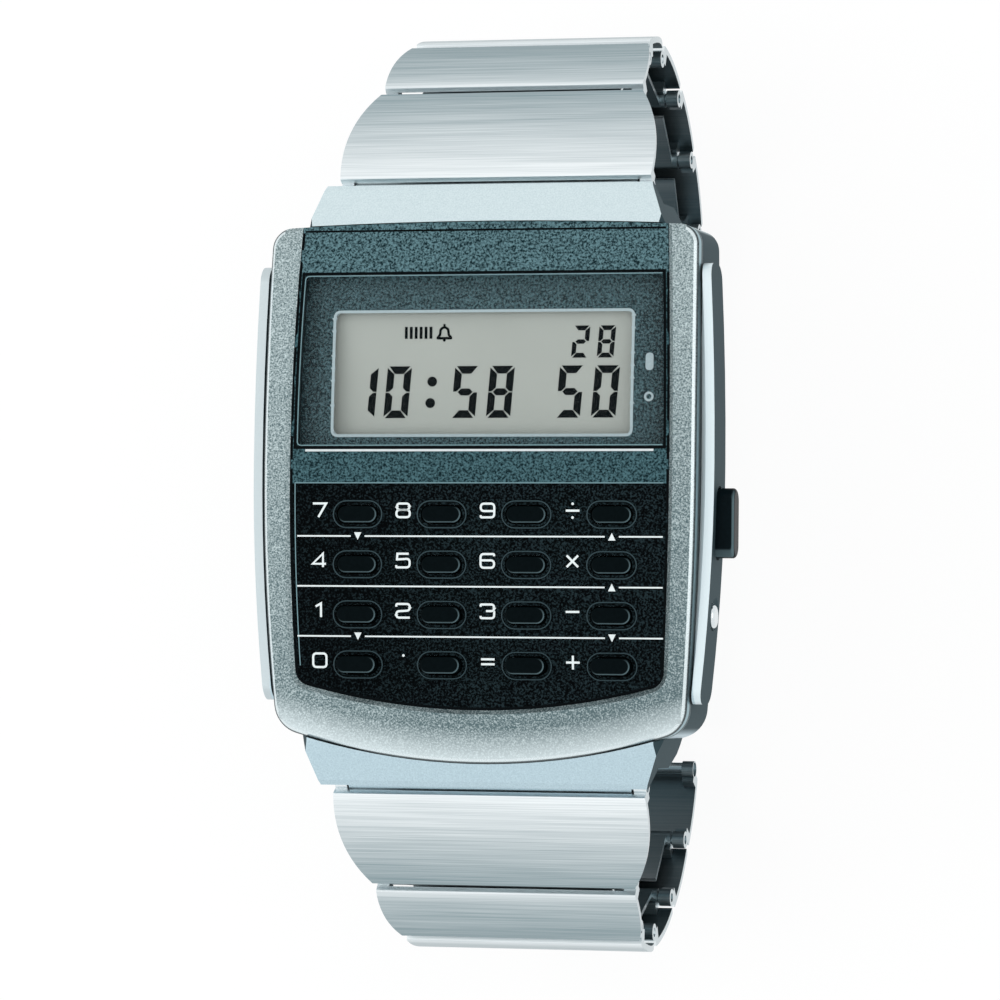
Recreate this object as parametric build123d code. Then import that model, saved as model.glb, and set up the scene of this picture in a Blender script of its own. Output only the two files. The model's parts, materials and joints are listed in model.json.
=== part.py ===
from build123d import *
from math import cos, radians, sin
import os

os.makedirs("parts", exist_ok=True)

# A calculator watch on its closed bracelet. The dial looks up (+Z), 12 o'clock is +Y and
# 3 o'clock is +X. It is modelled with the top of the dial at zero height and then lifted, so
# that the closed clasp, on which the watch stands, has its flat outer face at zero.

# Case, seen from the front
case_width = 32.0
half_case = case_width / 2
side_bow_high = 0.2
side_bow_low = 0.85
side_widest = 1.5
face_top = 18.5
top_bow = 0.4
face_bottom = 20.0
corner_low = 17.5
corner_radius = 2.2
top_corner_radius = 1.5
overrun = 4.0
dial_radius = 150.0
dial_reach = 90.0
seat_gap = 0.04
facing_share = 0.9

# Layers of the front, measured down from the top of the bezel
bezel_thickness = 1.6
bezel_chamfer = 0.3
panel_sink = 0.3
panel_thickness = 0.6
glass_thickness = 1.0
mask_thickness = 0.22
deck_bottom = 2.4

# Black dial opening in the bezel
bezel_leg = 1.95
opening_half = half_case - bezel_leg
opening_bow_high = 0.7
opening_bow_low = 0.45
bezel_foot_side = 3.2
bezel_foot = 3.8
opening_corner_low = corner_low - bezel_foot_side
opening_bottom = face_bottom - bezel_foot
opening_corner_radius = 1.2
panel_gap = 0.05

# Display
glass_low = 2.6
glass_high = 15.2
glass_side = 0.35
glass_half = opening_half - glass_side
glass_corner = 0.3
view_side = 2.55
view_width = 2 * (glass_half - view_side)
view_height = 8.95
view_x = -0.05
view_y = 8.0
view_corner = 0.6
view_margin = 0.5
cell_side = 0.45
cell_ledge = 1.325
cell_width = view_width + 2 * cell_side
cell_height = view_height + 2 * cell_ledge
cell_thickness = 1.2
rib_width = 1.0
rib_length = cell_width - 2 * rib_width

# Keys
key_columns = 4
key_rows = 4
key_margin = 1.51
key_pitch_x = 2 * (opening_half - key_margin) / key_columns
key_pitch_y = 3.6
keys_x = 0.5
keys_y = -7.6
key_length = 2.9
key_width = 1.2
key_gap = 0.1
key_edge = 0.15
key_travel = 0.4
key_flange = 0.3
key_flange_thickness = 0.4
rim_width = 0.16
rim_height = 0.12

# Hollow of the case, with the module in it
case_wall = 3.9
wall_inner = half_case - case_wall
hollow_top_wall = 2.6
hollow_foot_wall = 2.1
hollow_high = face_top - hollow_top_wall
hollow_low = corner_low - hollow_foot_wall
hollow_corner = 1.5
back_thickness = 0.8
back_inset = 1.3
back_edge = 0.3
module_side = 1.5
module_end_high = 0.6
module_end_low = 0.3
module_half = wall_inner - module_side
module_high = hollow_high - module_end_high
module_low = hollow_low - module_end_low
module_corner = 1.0
board_thickness = 0.8
board_gap = 0.05
holder_gap = 0.05

# Rubber keypad
pad_lip = 0.2
pad_half = module_half + pad_lip
pad_low = module_low
pad_high = 0.8
pad_thickness = 0.7
dome_radius = 0.65
dome_gap = 0.07
dome_height = 0.43

# Side rails
rail_proud = 1.1
rail_half = half_case + rail_proud
rail_thickness = 0.65
rail_bow_high = 0.4
rail_bow_low = 0.95
rail_high = 15.8
rail_low = 15.6
rail_top = 1.3
rail_bottom = 4.9
rail_web_drop = 0.7
rail_end_radius = 1.1
scoop_radius = 2.6
scoop_depth = 0.7

# Bracelet
lug_inset = 0.2
lug_axis_depth = 4.95
first_pitch = 8.4
pitch = 6.1
link_headings = (34.0, 53.0, 85.0, 113.0, 134.0, 151.0)
link_halves = (11.6, 9.75, 8.95, 8.5, 8.5, 8.5, 8.5)
side_swell = 0.42
plate_thickness = 0.45
plate_height = 1.25
plate_bulge = 0.32
first_bulge = 0.42
plate_gap = 0.15
plate_edge = 0.16
leaf_plate = 0.32
leaf_clear = 1.35
leaf_inset = 0.35
barrel_radius = 0.65
pin_radius = 0.34
pin_gap = 0.05
ear_width = 0.9
ear_gap = 0.15
web_back = 1.05
web_front = 0.25
web_top = 0.95
tongue_half = link_halves[0] - ear_width - ear_gap
tongue_radius = 0.68
bar_radius = 0.4
bar_inset = 0.3
bar_reach = link_halves[0] - bar_inset

# Lug hoods
hood_gap = 0.5
hood_taper = 1.2
hood_tip_half = link_halves[0] + hood_gap
hood_root_half = hood_tip_half + hood_taper
hood_side_drop = 3.0
hood_side_flare = 1.2
hood_length = 3.2
hood_wall_inset = 1.5
hood_reach = face_top + hood_length
hood_wall = hood_reach - hood_wall_inset
lug_axis_y = hood_reach - lug_inset
hood_top = 1.25
hood_slope_drop = 0.95
hood_lip_drop = 0.35
hood_lip_thickness = 0.75
hood_foot = 1.0

# Battery, buzzer and small parts on the board
cell_radius = 8.0
coin_height = 1.6
coin_step = 0.25
coin_rim = 1.4
pocket_gap = 0.15
pocket_wall = 0.75
battery_y = cell_radius + pocket_gap + pocket_wall - module_low
clip_thickness = 0.15
clip_width = 4.5
clip_lip = 1.0
clip_span = cell_radius + clip_lip
clip_hole_radius = 1.1
buzzer_radius = 5.6
buzzer_thickness = 0.2
buzzer_wall = 0.7
buzzer_y = module_high - buzzer_wall - buzzer_radius
chip_size = 5.0
chip_height = 0.9
chip_x = -4.6
quartz_radius = 0.7
quartz_length = 5.5
quartz_x = 5.6
contact_width = 1.2
contact_thickness = 0.12
contact_run = 3.2
holder_foot = 0.2
back_clearance = 0.65

# Gasket and screws of the case back
gasket_width = 0.7
gasket_height = 0.5
gasket_gap = 0.05
gasket_offset = 0.25
screw_inset = 2.25
screw_top_inset = 2.5
screw_foot_inset = 2.9
screw_x = half_case - screw_inset
screw_high = face_top - screw_top_inset
screw_low = corner_low - screw_foot_inset
screw_radius = 0.45
screw_length = 2.6
screw_head_radius = 0.85
screw_head_height = 0.35
screw_gap = 0.06
screw_slot_width = 0.22
screw_slot_depth = 0.15

# Side buttons
mode_y = -2.7
mode_length = 5.0
mode_width = 1.9
mode_proud = 1.2
mode_reach = rail_half + mode_proud
adjust_y = -9.35
adjust_radius = 0.85
adjust_sink = 0.2
adjust_reach = rail_half - adjust_sink
button_travel = 0.7
button_cap = 1.4
button_gap = 0.15
stem_radius = 0.5
stem_gap = 0.06
stem_proud = 0.4
stem_recess = 0.9
circlip_seat = wall_inner + stem_recess
stem_tip = circlip_seat - stem_proud
ring_radius = 0.2
ring_sink = 1.7
ring_seat = half_case - ring_sink
ring_bore_gap = 0.04
neck_radius = 0.25
circlip_radius = 0.8
circlip_thickness = 0.2
circlip_gap = 0.08
circlip_mouth = 0.45
circlip_room = 0.1
button_depth = deck_bottom + circlip_radius + circlip_room
button_edge = 0.25
leaf_thickness = 0.13
leaf_width = 1.6
leaf_rise = 0.8

# Clasp, with heights measured outwards from the end hinge of the bracelet
frame_side = 1.3
frame_half = link_halves[-1] - frame_side
frame_thickness = 0.5
rail_wall = 0.6
rail_height = 1.75
head_start = barrel_radius + pin_gap + ear_gap
head_length = 1.55
frame_tail = 0.8
arm_low = 0.95
arm_thickness = 0.5
arm_gap = 0.2
cover_low = 1.95
cover_thickness = 0.6
cover_gap = 0.3
cover_wall = 0.6
cover_half = frame_half + cover_gap + cover_wall
cover_wall_top = 0.15
cover_start = 1.4
cover_wall_start = 2.8
cover_wall_tail = 3.0
cover_bend_tail = 5.8
cover_edge = 0.35
arm_hinge_near = 4.6
arm_hinge_tail = 8.2
knuckle_radius = 0.6
clasp_pin_radius = 0.28
adjust_first = 8.0
adjust_step = 2.5
adjust_holes = 5
adjust_hole_radius = 0.4
adjust_slot_length = 15.0
adjust_slot_width = 5.0
catch_radius = 0.55
catch_gap = 0.25
hook_half = 5.0
hook_top = 0.45
hook_reach = 0.5


def bracelet_axes():
    """Hinge axes of one half of the bracelet, from the lug to the clasp, as (y, z)."""
    axes = [(lug_axis_y, -lug_axis_depth)]
    for number, heading in enumerate(link_headings):
        run = pitch if number else first_pitch
        y, z = axes[-1]
        axes.append((y + run * cos(radians(heading)), z - run * sin(radians(heading))))
    return axes


axes = bracelet_axes()
clasp_axis_y, clasp_axis_z = axes[-1]
catch_place = 2 * clasp_axis_y
arm_hinge_far = catch_place - arm_hinge_tail
frame_end = arm_hinge_far + frame_tail
head_end = head_start + head_length
cover_wall_end = catch_place - cover_wall_tail
cover_bend_start = catch_place - cover_bend_tail
dial_height = cover_low + cover_thickness - clasp_axis_z

# Depths of the module's layers below the dial, and with them the depth of the case
module_top = deck_bottom + board_gap
board_top = (module_top + key_flange_thickness + key_travel + dome_gap + dome_height
             + pad_thickness)
holder_top = board_top + board_gap + board_thickness + holder_gap
clip_top = holder_top + pocket_gap + coin_height
holder_bottom = clip_top + clip_thickness + holder_foot
back_top = clip_top + clip_thickness + back_clearance
case_depth = back_top + back_thickness


def save(name, *solids):
    lifted = [Pos(0, 0, dial_height) * solid for solid in solids]
    shape = lifted[0] if len(lifted) == 1 else Compound(children=lifted)
    export_step(shape, os.path.join("parts", name + ".step"))


def prism(outline, low, high):
    return extrude(Pos(0, 0, low) * outline, amount=high - low)


def section(profile, half_width):
    """A profile in the YZ plane, carried across X on both sides."""
    return extrude(Plane.YZ * profile, amount=half_width, both=True)


def section_between(profile, low, high):
    return extrude(Plane.YZ.offset(low) * profile, amount=high - low)


def rod(radius, x_low, x_high, y, z):
    return section_between(Pos(y, z) * Circle(radius), x_low, x_high)


def under_dial(depth):
    """Everything below the gently arched dial surface, moved down by depth."""
    body = Cylinder(dial_radius - depth, dial_reach)
    return Pos(0, 0, -dial_radius) * Rot(0, 90, 0) * body


def layer(outline, top_depth, bottom_depth):
    block = prism(outline, -case_depth, overrun)
    return (block & under_dial(top_depth)) - under_dial(bottom_depth)


def bowed_side(half, high_end, high, low_end, low):
    """Both sides of an outline, upright where they are widest and bowed in to the ends."""
    up, down = (0, 1), (0, -1)
    return [
        TangentArc((x, side_widest), (x - share * end, y), tangent=way)
        for x, share in ((half, 1), (-half, -1))
        for end, y, way in ((half - high_end, high, up), (half - low_end, low, down))
    ]


def case_outline(inset=0):
    half = half_case - inset
    high_end = half - side_bow_high
    low_end = half - side_bow_low
    top = face_top - inset
    low = corner_low - inset
    edges = [
        ThreePointArc((-high_end, top), (0, top + top_bow), (high_end, top)),
        ThreePointArc((low_end, -low), (0, -face_bottom + inset), (-low_end, -low)),
        *bowed_side(half, high_end, top, low_end, -low),
    ]
    outline = make_face(edges)
    outline = fillet(outline.vertices().sort_by(Axis.Y)[:2], corner_radius)
    return fillet(outline.vertices().sort_by(Axis.Y)[-2:], top_corner_radius)


def opening_outline(inset):
    half = opening_half - inset
    low = opening_corner_low - inset
    top = face_top + overrun
    high_end = half - opening_bow_high
    low_end = half - opening_bow_low
    edges = [
        ThreePointArc((-low_end, -low), (0, -opening_bottom + inset), (low_end, -low)),
        Line((high_end, top), (-high_end, top)),
        *bowed_side(half, high_end, top, low_end, -low),
    ]
    outline = make_face(edges)
    return fillet(outline.vertices().sort_by(Axis.Y)[:2], opening_corner_radius)


def glass_outline(inset):
    height = glass_high - glass_low
    band = Pos(0, glass_low + height / 2) * Rectangle(case_width, height - 2 * inset)
    plate = opening_outline(glass_side + inset) & band
    rows = plate.vertices().group_by(Axis.Y)
    return fillet(rows[0] + rows[-1], glass_corner)


def key_places():
    first_x = keys_x - key_pitch_x * (key_columns - 1) / 2
    first_y = keys_y + key_pitch_y * (key_rows - 1) / 2
    return [
        (row, column, first_x + key_pitch_x * column, first_y - key_pitch_y * row)
        for row in range(key_rows)
        for column in range(key_columns)
    ]


def key_slots(growth):
    slot = SlotOverall(key_length + 2 * growth, key_width + 2 * growth)
    return Sketch() + [Pos(x, y) * slot for _, _, x, y in key_places()]


def dial_edges(shape):
    top = [face for face in shape.faces() if face.normal_at().Z > facing_share]
    return top[0].edges()


def front_bezel():
    plate = layer(case_outline(), 0, bezel_thickness)
    plate = chamfer(dial_edges(plate), bezel_chamfer)
    ring = plate - prism(opening_outline(0), -case_depth, overrun)
    inner = [edge for edge in dial_edges(ring)
             if abs(edge.center().X) < opening_half + seat_gap
             and -opening_bottom - seat_gap < edge.center().Y < glass_high]
    return chamfer(inner, bezel_chamfer)


def face_panel():
    plate = case_outline() & opening_outline(panel_gap)
    holes = key_slots(key_gap)
    bottom = panel_sink + panel_thickness
    body = layer(plate - glass_outline(0) - holes, panel_sink, bottom)
    rims = key_slots(key_gap + rim_width) - holes
    return body + layer(rims, panel_sink - rim_height, bottom)


def display_window():
    return layer(glass_outline(panel_gap), panel_sink, panel_sink + glass_thickness)


def view_outline(growth):
    view = RectangleRounded(view_width + 2 * growth, view_height + 2 * growth, view_corner)
    return Pos(view_x, view_y) * view


def display_mask():
    top = panel_sink + glass_thickness + seat_gap
    return layer(glass_outline(panel_gap) - view_outline(0), top, top + mask_thickness)


def display_cell():
    top = -module_top
    return Pos(view_x, view_y) * prism(
        Rectangle(cell_width, cell_height), top - cell_thickness, top
    )


def contact_ribs():
    low = -board_top
    high = -module_top - cell_thickness
    offset = (cell_height - rib_width) / 2
    ribs = prism(Rectangle(rib_length, rib_width), low, high)
    return [Pos(0, view_y + side * offset) * ribs for side in (-1, 1)]


def keypad_membrane():
    low = -board_top
    length = pad_low + pad_high
    sheet = prism(
        Pos(0, (pad_high - pad_low) / 2) * Rectangle(2 * pad_half, length), low, low + pad_thickness
    )
    dome = Cylinder(dome_radius, dome_height)
    height = low + pad_thickness + dome_height / 2
    return sheet + [Pos(x, y, height) * dome for _, _, x, y in key_places()]


def module_outline(inset):
    length = module_high + module_low
    plate = RectangleRounded(2 * (module_half - inset), length - 2 * inset, module_corner)
    return Pos(0, (module_high - module_low) / 2) * plate


def circuit_board():
    high = -board_top - board_gap
    return prism(module_outline(0), high - board_thickness, high)


def module_holder():
    block = prism(module_outline(0), -holder_bottom, -holder_top)
    depth = -holder_top + holder_bottom
    coin = Pos(0, battery_y) * Circle(cell_radius + pocket_gap)
    buzzer = Pos(0, buzzer_y) * Rectangle(2 * (module_half - module_corner), 2 * buzzer_radius)
    cut = prism(coin, -holder_bottom - overrun, -holder_bottom + depth + overrun)
    room = prism(buzzer, -holder_bottom - overrun, -holder_bottom + depth + overrun)
    strap = Pos(0, battery_y) * Rectangle(
        2 * clip_span + 2 * pocket_gap, clip_width + 2 * pocket_gap
    )
    groove = prism(strap, -holder_bottom - overrun, -clip_top + board_gap)
    return block - cut - room - groove


def coin_cell():
    high = -holder_top - pocket_gap
    low = high - coin_height
    can = prism(Circle(cell_radius), low, high - coin_step)
    cap = prism(Circle(cell_radius - coin_rim), low, high)
    return Pos(0, battery_y) * (can + cap)


def battery_clip():
    low = -clip_top - clip_thickness
    strap = prism(Rectangle(2 * clip_span, clip_width), low, low + clip_thickness)
    hole = Cylinder(clip_hole_radius, overrun)
    return Pos(0, battery_y) * (strap - Pos(0, 0, low) * hole)


def buzzer_disc():
    low = -back_top + seat_gap
    return Pos(0, buzzer_y) * prism(Circle(buzzer_radius), low, low + buzzer_thickness)


def buzzer_contact():
    """A bent leaf from the board down to the buzzer disc."""
    high = -holder_top - pocket_gap / 2
    low = -back_top + seat_gap + buzzer_thickness + seat_gap
    t = contact_thickness
    start = buzzer_y - contact_run / 2
    end = buzzer_y + contact_run / 2
    points = [
        (start, high), (end, high), (end, high - t), (start + 2 * t, high - t),
        (end, low + t), (end, low), (end - 2 * t, low), (start, high - t),
    ]
    profile = make_face(Polyline(*points, close=True))
    return section(profile, contact_width / 2)


def board_components():
    high = -holder_top - seat_gap + holder_gap
    chip = Pos(chip_x, buzzer_y, high - chip_height / 2) * Box(chip_size, chip_size, chip_height)
    can = Rot(90, 0, 0) * Cylinder(quartz_radius, quartz_length)
    return [chip, Pos(quartz_x, buzzer_y, high - quartz_radius) * can]


def hollow_outline(growth):
    width = 2 * (wall_inner + growth)
    length = hollow_high + hollow_low + 2 * growth
    plate = RectangleRounded(width, length, hollow_corner + growth)
    return Pos(0, (hollow_high - hollow_low) / 2) * plate


def gasket_outline(growth):
    outer = hollow_outline(gasket_offset + gasket_width + growth)
    return outer - hollow_outline(gasket_offset - growth)


def back_gasket():
    low = -back_top
    return prism(gasket_outline(0), low, low + gasket_height)


def screw_places():
    return [(x, y) for x in (-screw_x, screw_x) for y in (screw_high, -screw_low)]


def case_back():
    plate = prism(case_outline(back_inset), -case_depth, -back_top - seat_gap)
    plate = chamfer(plate.faces().sort_by(Axis.Z)[0].edges(), back_edge)
    head = prism(
        Circle(screw_head_radius + screw_gap),
        -case_depth - overrun,
        -case_depth + screw_head_height + screw_gap,
    )
    hole = prism(Circle(screw_radius + screw_gap), -case_depth - overrun, -back_top + overrun)
    for x, y in screw_places():
        plate -= Pos(x, y) * (head + hole)
    return plate


def back_screws():
    head = prism(Circle(screw_head_radius), -case_depth, -case_depth + screw_head_height)
    shank = prism(Circle(screw_radius), -case_depth, -case_depth + screw_length)
    slot = prism(
        Rectangle(2 * screw_head_radius, screw_slot_width),
        -case_depth - overrun,
        -case_depth + screw_slot_depth,
    )
    screw = head + shank - slot
    return [Pos(x, y) * screw for x, y in screw_places()]


def hood(side):
    """One end of the case, sloping down over the first link, with the bar tongue under it."""
    top_plane = hood_top + hood_slope_drop
    profile = make_face(Polyline(
        (face_top - overrun, -hood_top),
        (face_top, -hood_top),
        (hood_reach - hood_lip_drop, -top_plane),
        (hood_reach, -top_plane - hood_lip_drop),
        (hood_reach, -top_plane - hood_lip_thickness),
        (hood_wall, -top_plane - 2 * hood_lip_thickness),
        (hood_wall, -back_top + hood_foot),
        (hood_wall - hood_foot, -back_top),
        (face_top - overrun, -back_top),
        close=True,
    ))
    plan = make_face(Polyline(
        (-hood_root_half - hood_side_flare, face_top - overrun),
        (-hood_root_half, face_top), (-hood_tip_half, hood_reach + seat_gap),
        (hood_tip_half, hood_reach + seat_gap), (hood_root_half, face_top),
        (hood_root_half + hood_side_flare, face_top - overrun),
        close=True,
    ))
    front = make_face(Polyline(
        (-hood_root_half + hood_side_flare, 0), (hood_root_half - hood_side_flare, 0),
        (hood_root_half + hood_side_flare / 2, -hood_side_drop),
        (hood_root_half + hood_side_flare / 2, -case_depth),
        (-hood_root_half - hood_side_flare / 2, -case_depth),
        (-hood_root_half - hood_side_flare / 2, -hood_side_drop),
        close=True,
    ))
    body = section(profile, case_width) & prism(plan, -case_depth, overrun)
    body &= extrude(Plane.XZ * front, amount=-2 * hood_reach)
    y, z = axes[0]
    web = Pos(0, (hood_wall - hood_foot + y) / 2, z) * Box(
        2 * tongue_half, y - hood_wall + hood_foot, 2 * tongue_radius
    )
    body += web + rod(tongue_radius, -tongue_half, tongue_half, y, z)
    body -= rod(bar_radius + pin_gap, -case_width, case_width, y, z)
    return body if side > 0 else Rot(0, 0, 180) * body


def rail_plan(inset):
    half = rail_half - inset
    high_end = half - rail_bow_high
    low_end = half - rail_bow_low
    return make_face([
        *bowed_side(half, high_end, rail_high, low_end, -rail_low)[:2],
        Line((high_end, rail_high), (0, rail_high)),
        Line((0, rail_high), (0, -rail_low)),
        Line((0, -rail_low), (low_end, -rail_low)),
    ])


def side_rail(side):
    length = rail_high + rail_low
    height = rail_bottom - rail_top
    shape = RectangleRounded(length, height, rail_end_radius)
    profile = Pos((rail_high - rail_low) / 2, -rail_top - height / 2) * shape
    plan = rail_plan(0) - rail_plan(rail_thickness)
    bar = section_between(profile, wall_inner, rail_half) & prism(plan, -case_depth, 0)
    web_height = height - rail_web_drop - rail_end_radius / 2
    web_shape = RectangleRounded(length - 2 * rail_end_radius, web_height, rail_end_radius / 2)
    web_profile = Pos((rail_high - rail_low) / 2, -rail_bottom + rail_end_radius / 2
                      + web_height / 2) * web_shape
    web = section_between(web_profile, wall_inner + gasket_width, rail_half)
    web &= prism(rail_plan(rail_thickness / 2), -case_depth, 0)
    rail = bar + web
    return rail if side > 0 else mirror(rail, about=Plane.YZ)


def mode_profile(growth):
    slot = SlotOverall(mode_length + 2 * growth, mode_width + 2 * growth)
    return Pos(mode_y, -button_depth) * slot


def button_bores():
    """Everything that is cut from the right wall for the two side buttons."""
    reach = rail_half + overrun
    cut = section_between(
        mode_profile(button_gap), mode_reach - button_cap - button_travel - button_gap, reach
    )
    cut += rod(
        adjust_radius + button_gap,
        adjust_reach - button_cap - button_travel - button_gap,
        reach, adjust_y, -button_depth,
    )
    centre = rail_half + scoop_radius - scoop_depth
    cut += Pos(centre, adjust_y, -button_depth) * Sphere(scoop_radius)
    seat = stem_radius + 2 * ring_radius + ring_bore_gap
    for y in (mode_y, adjust_y):
        cut += rod(stem_radius + stem_gap, 0, reach, y, -button_depth)
        cut += rod(circlip_radius + circlip_gap, 0, circlip_seat, y, -button_depth)
        cut += rod(seat, ring_seat - ring_radius, case_width / 2 + seat_gap, y, -button_depth)
    return cut


def case_body():
    shell = prism(case_outline(), -back_top, 0)
    shell += hood(1) + hood(-1)
    for side in (-1, 1):
        shell += side_rail(side)
    shell -= prism(hollow_outline(0), -case_depth, -deck_bottom)
    shoulder = under_dial(bezel_thickness + seat_gap)
    shell -= prism(case_outline(-panel_gap), -case_depth, overrun) - shoulder
    deck = case_outline() & opening_outline(panel_gap)
    deck_top = panel_sink + panel_thickness + seat_gap
    shell += layer(deck, deck_top, bezel_thickness + 2 * seat_gap)
    pocket = panel_sink + glass_thickness + mask_thickness + 2 * seat_gap
    shell -= prism(glass_outline(0), -case_depth, overrun) - under_dial(pocket)
    shell -= prism(view_outline(view_margin), -case_depth, 0)
    shell -= prism(key_slots(key_gap), -case_depth, 0)
    low = -back_top
    shell -= prism(gasket_outline(gasket_gap), low - seat_gap, low + gasket_height + gasket_gap)
    for x, y in screw_places():
        shell -= Pos(x, y) * prism(
            Circle(screw_radius), low - seat_gap, -case_depth + screw_length + screw_gap
        )
    return shell - button_bores()


def key():
    low = -(module_top + key_flange_thickness)
    cap = prism(SlotOverall(key_length, key_width), low, 0)
    cap = fillet(cap.faces().sort_by(Axis.Z)[-1].edges(), key_edge)
    flange = SlotOverall(key_length + 2 * key_flange, key_width + 2 * key_flange)
    return cap + prism(flange, low, -module_top)


def stem(y, reach):
    shaft = rod(stem_radius, stem_tip, reach, y, -button_depth)
    groove_low = circlip_seat - circlip_gap - circlip_thickness
    neck = rod(stem_radius, groove_low, circlip_seat - circlip_gap, y, -button_depth)
    neck -= rod(neck_radius, groove_low, circlip_seat - circlip_gap, y, -button_depth)
    return shaft - neck


def circlip(y):
    groove_low = circlip_seat - circlip_gap - circlip_thickness
    high = circlip_seat - circlip_gap
    disc = rod(circlip_radius, groove_low, high, y, -button_depth)
    disc -= rod(neck_radius, groove_low, high, y, -button_depth)
    mouth = Box(overrun, circlip_radius, circlip_mouth)
    return disc - Pos(groove_low, y - circlip_radius / 2, -button_depth) * mouth


def mode_button():
    cap = section_between(mode_profile(0), mode_reach - button_cap, mode_reach)
    cap = fillet(cap.faces().sort_by(Axis.X)[-1].edges(), button_edge)
    return [cap + stem(mode_y, mode_reach - button_cap / 2), circlip(mode_y)]


def adjust_button():
    cap = rod(adjust_radius, adjust_reach - button_cap, adjust_reach, adjust_y, -button_depth)
    cap = fillet(cap.faces().sort_by(Axis.X)[-1].edges(), button_edge)
    return [cap + stem(adjust_y, adjust_reach - button_cap / 2), circlip(adjust_y)]


def button_gaskets():
    ring = Torus(stem_radius + ring_radius, ring_radius)
    return [
        Pos(ring_seat, y, -button_depth) * Rot(0, 90, 0) * ring for y in (mode_y, adjust_y)
    ]


def switch_leaves():
    """The contact each stem pushes, standing on a foot that runs in to the circuit board."""
    outer = stem_tip - button_travel - seat_gap
    top = leaf_rise - button_depth
    foot_z = -board_top - board_gap - board_thickness / 2
    leaves = []
    for y in (mode_y, adjust_y):
        leaf = Pos(outer - leaf_thickness / 2, y, (top + foot_z) / 2) * Box(
            leaf_thickness, leaf_width, top - foot_z
        )
        inner = module_half + seat_gap
        foot = Pos((outer + inner) / 2, y, foot_z) * Box(outer - inner, leaf_width, leaf_thickness)
        leaves.append(leaf + foot)
    return leaves


def lug_bars():
    y, z = axes[0]
    bar = rod(bar_radius, -bar_reach, bar_reach, y, z)
    return [bar, Rot(0, 0, 180) * bar]


def link_place(side, number):
    """Where a link's own frame lies: its near hinge is the origin, Y runs to its far hinge."""
    y, z = axes[number]
    place = Pos(0, y, z) * Rot(-link_headings[number], 0, 0)
    return place if side > 0 else Rot(0, 0, 180) * place


def plate_profile(run, bulge):
    low = plate_height - plate_thickness
    start = plate_gap
    end = run - plate_gap
    edges = [
        ThreePointArc((start, plate_height), (run / 2, plate_height + bulge), (end, plate_height)),
        Line((end, plate_height), (end, low)),
        ThreePointArc((end, low), (run / 2, low + bulge), (start, low)),
        Line((start, low), (start, plate_height)),
    ]
    profile = make_face(edges)
    return fillet(profile.vertices().group_by(Axis.Y)[-1], plate_edge)


def plate_plan(run, near, far):
    middle = (near + far) / 2 + side_swell * abs(near - far)
    edges = [
        Line((-near, 0), (near, 0)),
        ThreePointArc((near, 0), (middle, run / 2), (far, run)) if near != far
        else Line((near, 0), (far, run)),
        Line((far, run), (-far, run)),
        ThreePointArc((-far, run), (-middle, run / 2), (-near, 0)) if near != far
        else Line((-far, run), (-near, 0)),
    ]
    return make_face(edges)


def barrel_end(run, half):
    """The plate rolled round the next pin, with the inner leaf running back from the roll."""
    roll = Pos(run, 0) * Circle(barrel_radius)
    web = Pos(run - (web_back + web_front) / 2, web_top / 2) * Rectangle(
        web_back - web_front, web_top
    )
    leaf_length = run - leaf_clear
    leaf = Pos(run - leaf_length / 2, -barrel_radius + leaf_plate / 2) * Rectangle(
        leaf_length, leaf_plate
    )
    bore = Pos(run, 0) * Circle(pin_radius + pin_gap)
    body = section(roll + web - bore, half)
    return body + section(leaf - Pos(run, 0) * Circle(barrel_radius / 2 + pin_radius), half - leaf_inset)


def ear(low, high, radius):
    disc = Circle(radius)
    web = Pos((plate_gap + web_back) / 2, web_top / 2) * Rectangle(
        web_back - plate_gap, web_top
    )
    return section_between(disc + web, low, high)


def ears(half, bore_radius):
    pair = [ear(half - ear_width, half, barrel_radius), ear(-half, ear_width - half, barrel_radius)]
    bore = rod(bore_radius, -case_width, case_width, 0, 0)
    return [piece - bore for piece in pair]


def link(number, last_of_six=False):
    run = pitch if number else first_pitch
    bulge = plate_bulge if number else first_bulge
    near = link_halves[number]
    far = link_halves[number + 1]
    plate = section(plate_profile(run, bulge), case_width)
    plate &= prism(plate_plan(run, near, far), 0, overrun)
    bore_radius = pin_radius if number else bar_radius + pin_gap
    body = plate + ears(near, bore_radius)
    if last_of_six:
        tip = [Pos(0, run) * Rot(0, 0, 180) * piece for piece in ears(far, catch_radius)]
        return body + tip
    return body + barrel_end(run, far - ear_width - ear_gap)


def link_pin(number):
    half = link_halves[number] - plate_edge
    return rod(pin_radius, -half, half, 0, 0)


def save_links():
    for side, label in ((1, "12"), (-1, "6")):
        for number in range(len(link_headings)):
            last = side < 0 and number == len(link_headings) - 1
            pieces = [link(number, last)]
            if number:
                pieces.append(link_pin(number))
            place = link_place(side, number)
            save(f"link_{label}_{number + 1}", *[place * piece for piece in pieces])


def clasp_place():
    return Pos(0, clasp_axis_y, clasp_axis_z) * Rot(180, 0, 0)


def arm_centre():
    return arm_low + arm_thickness / 2


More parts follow.
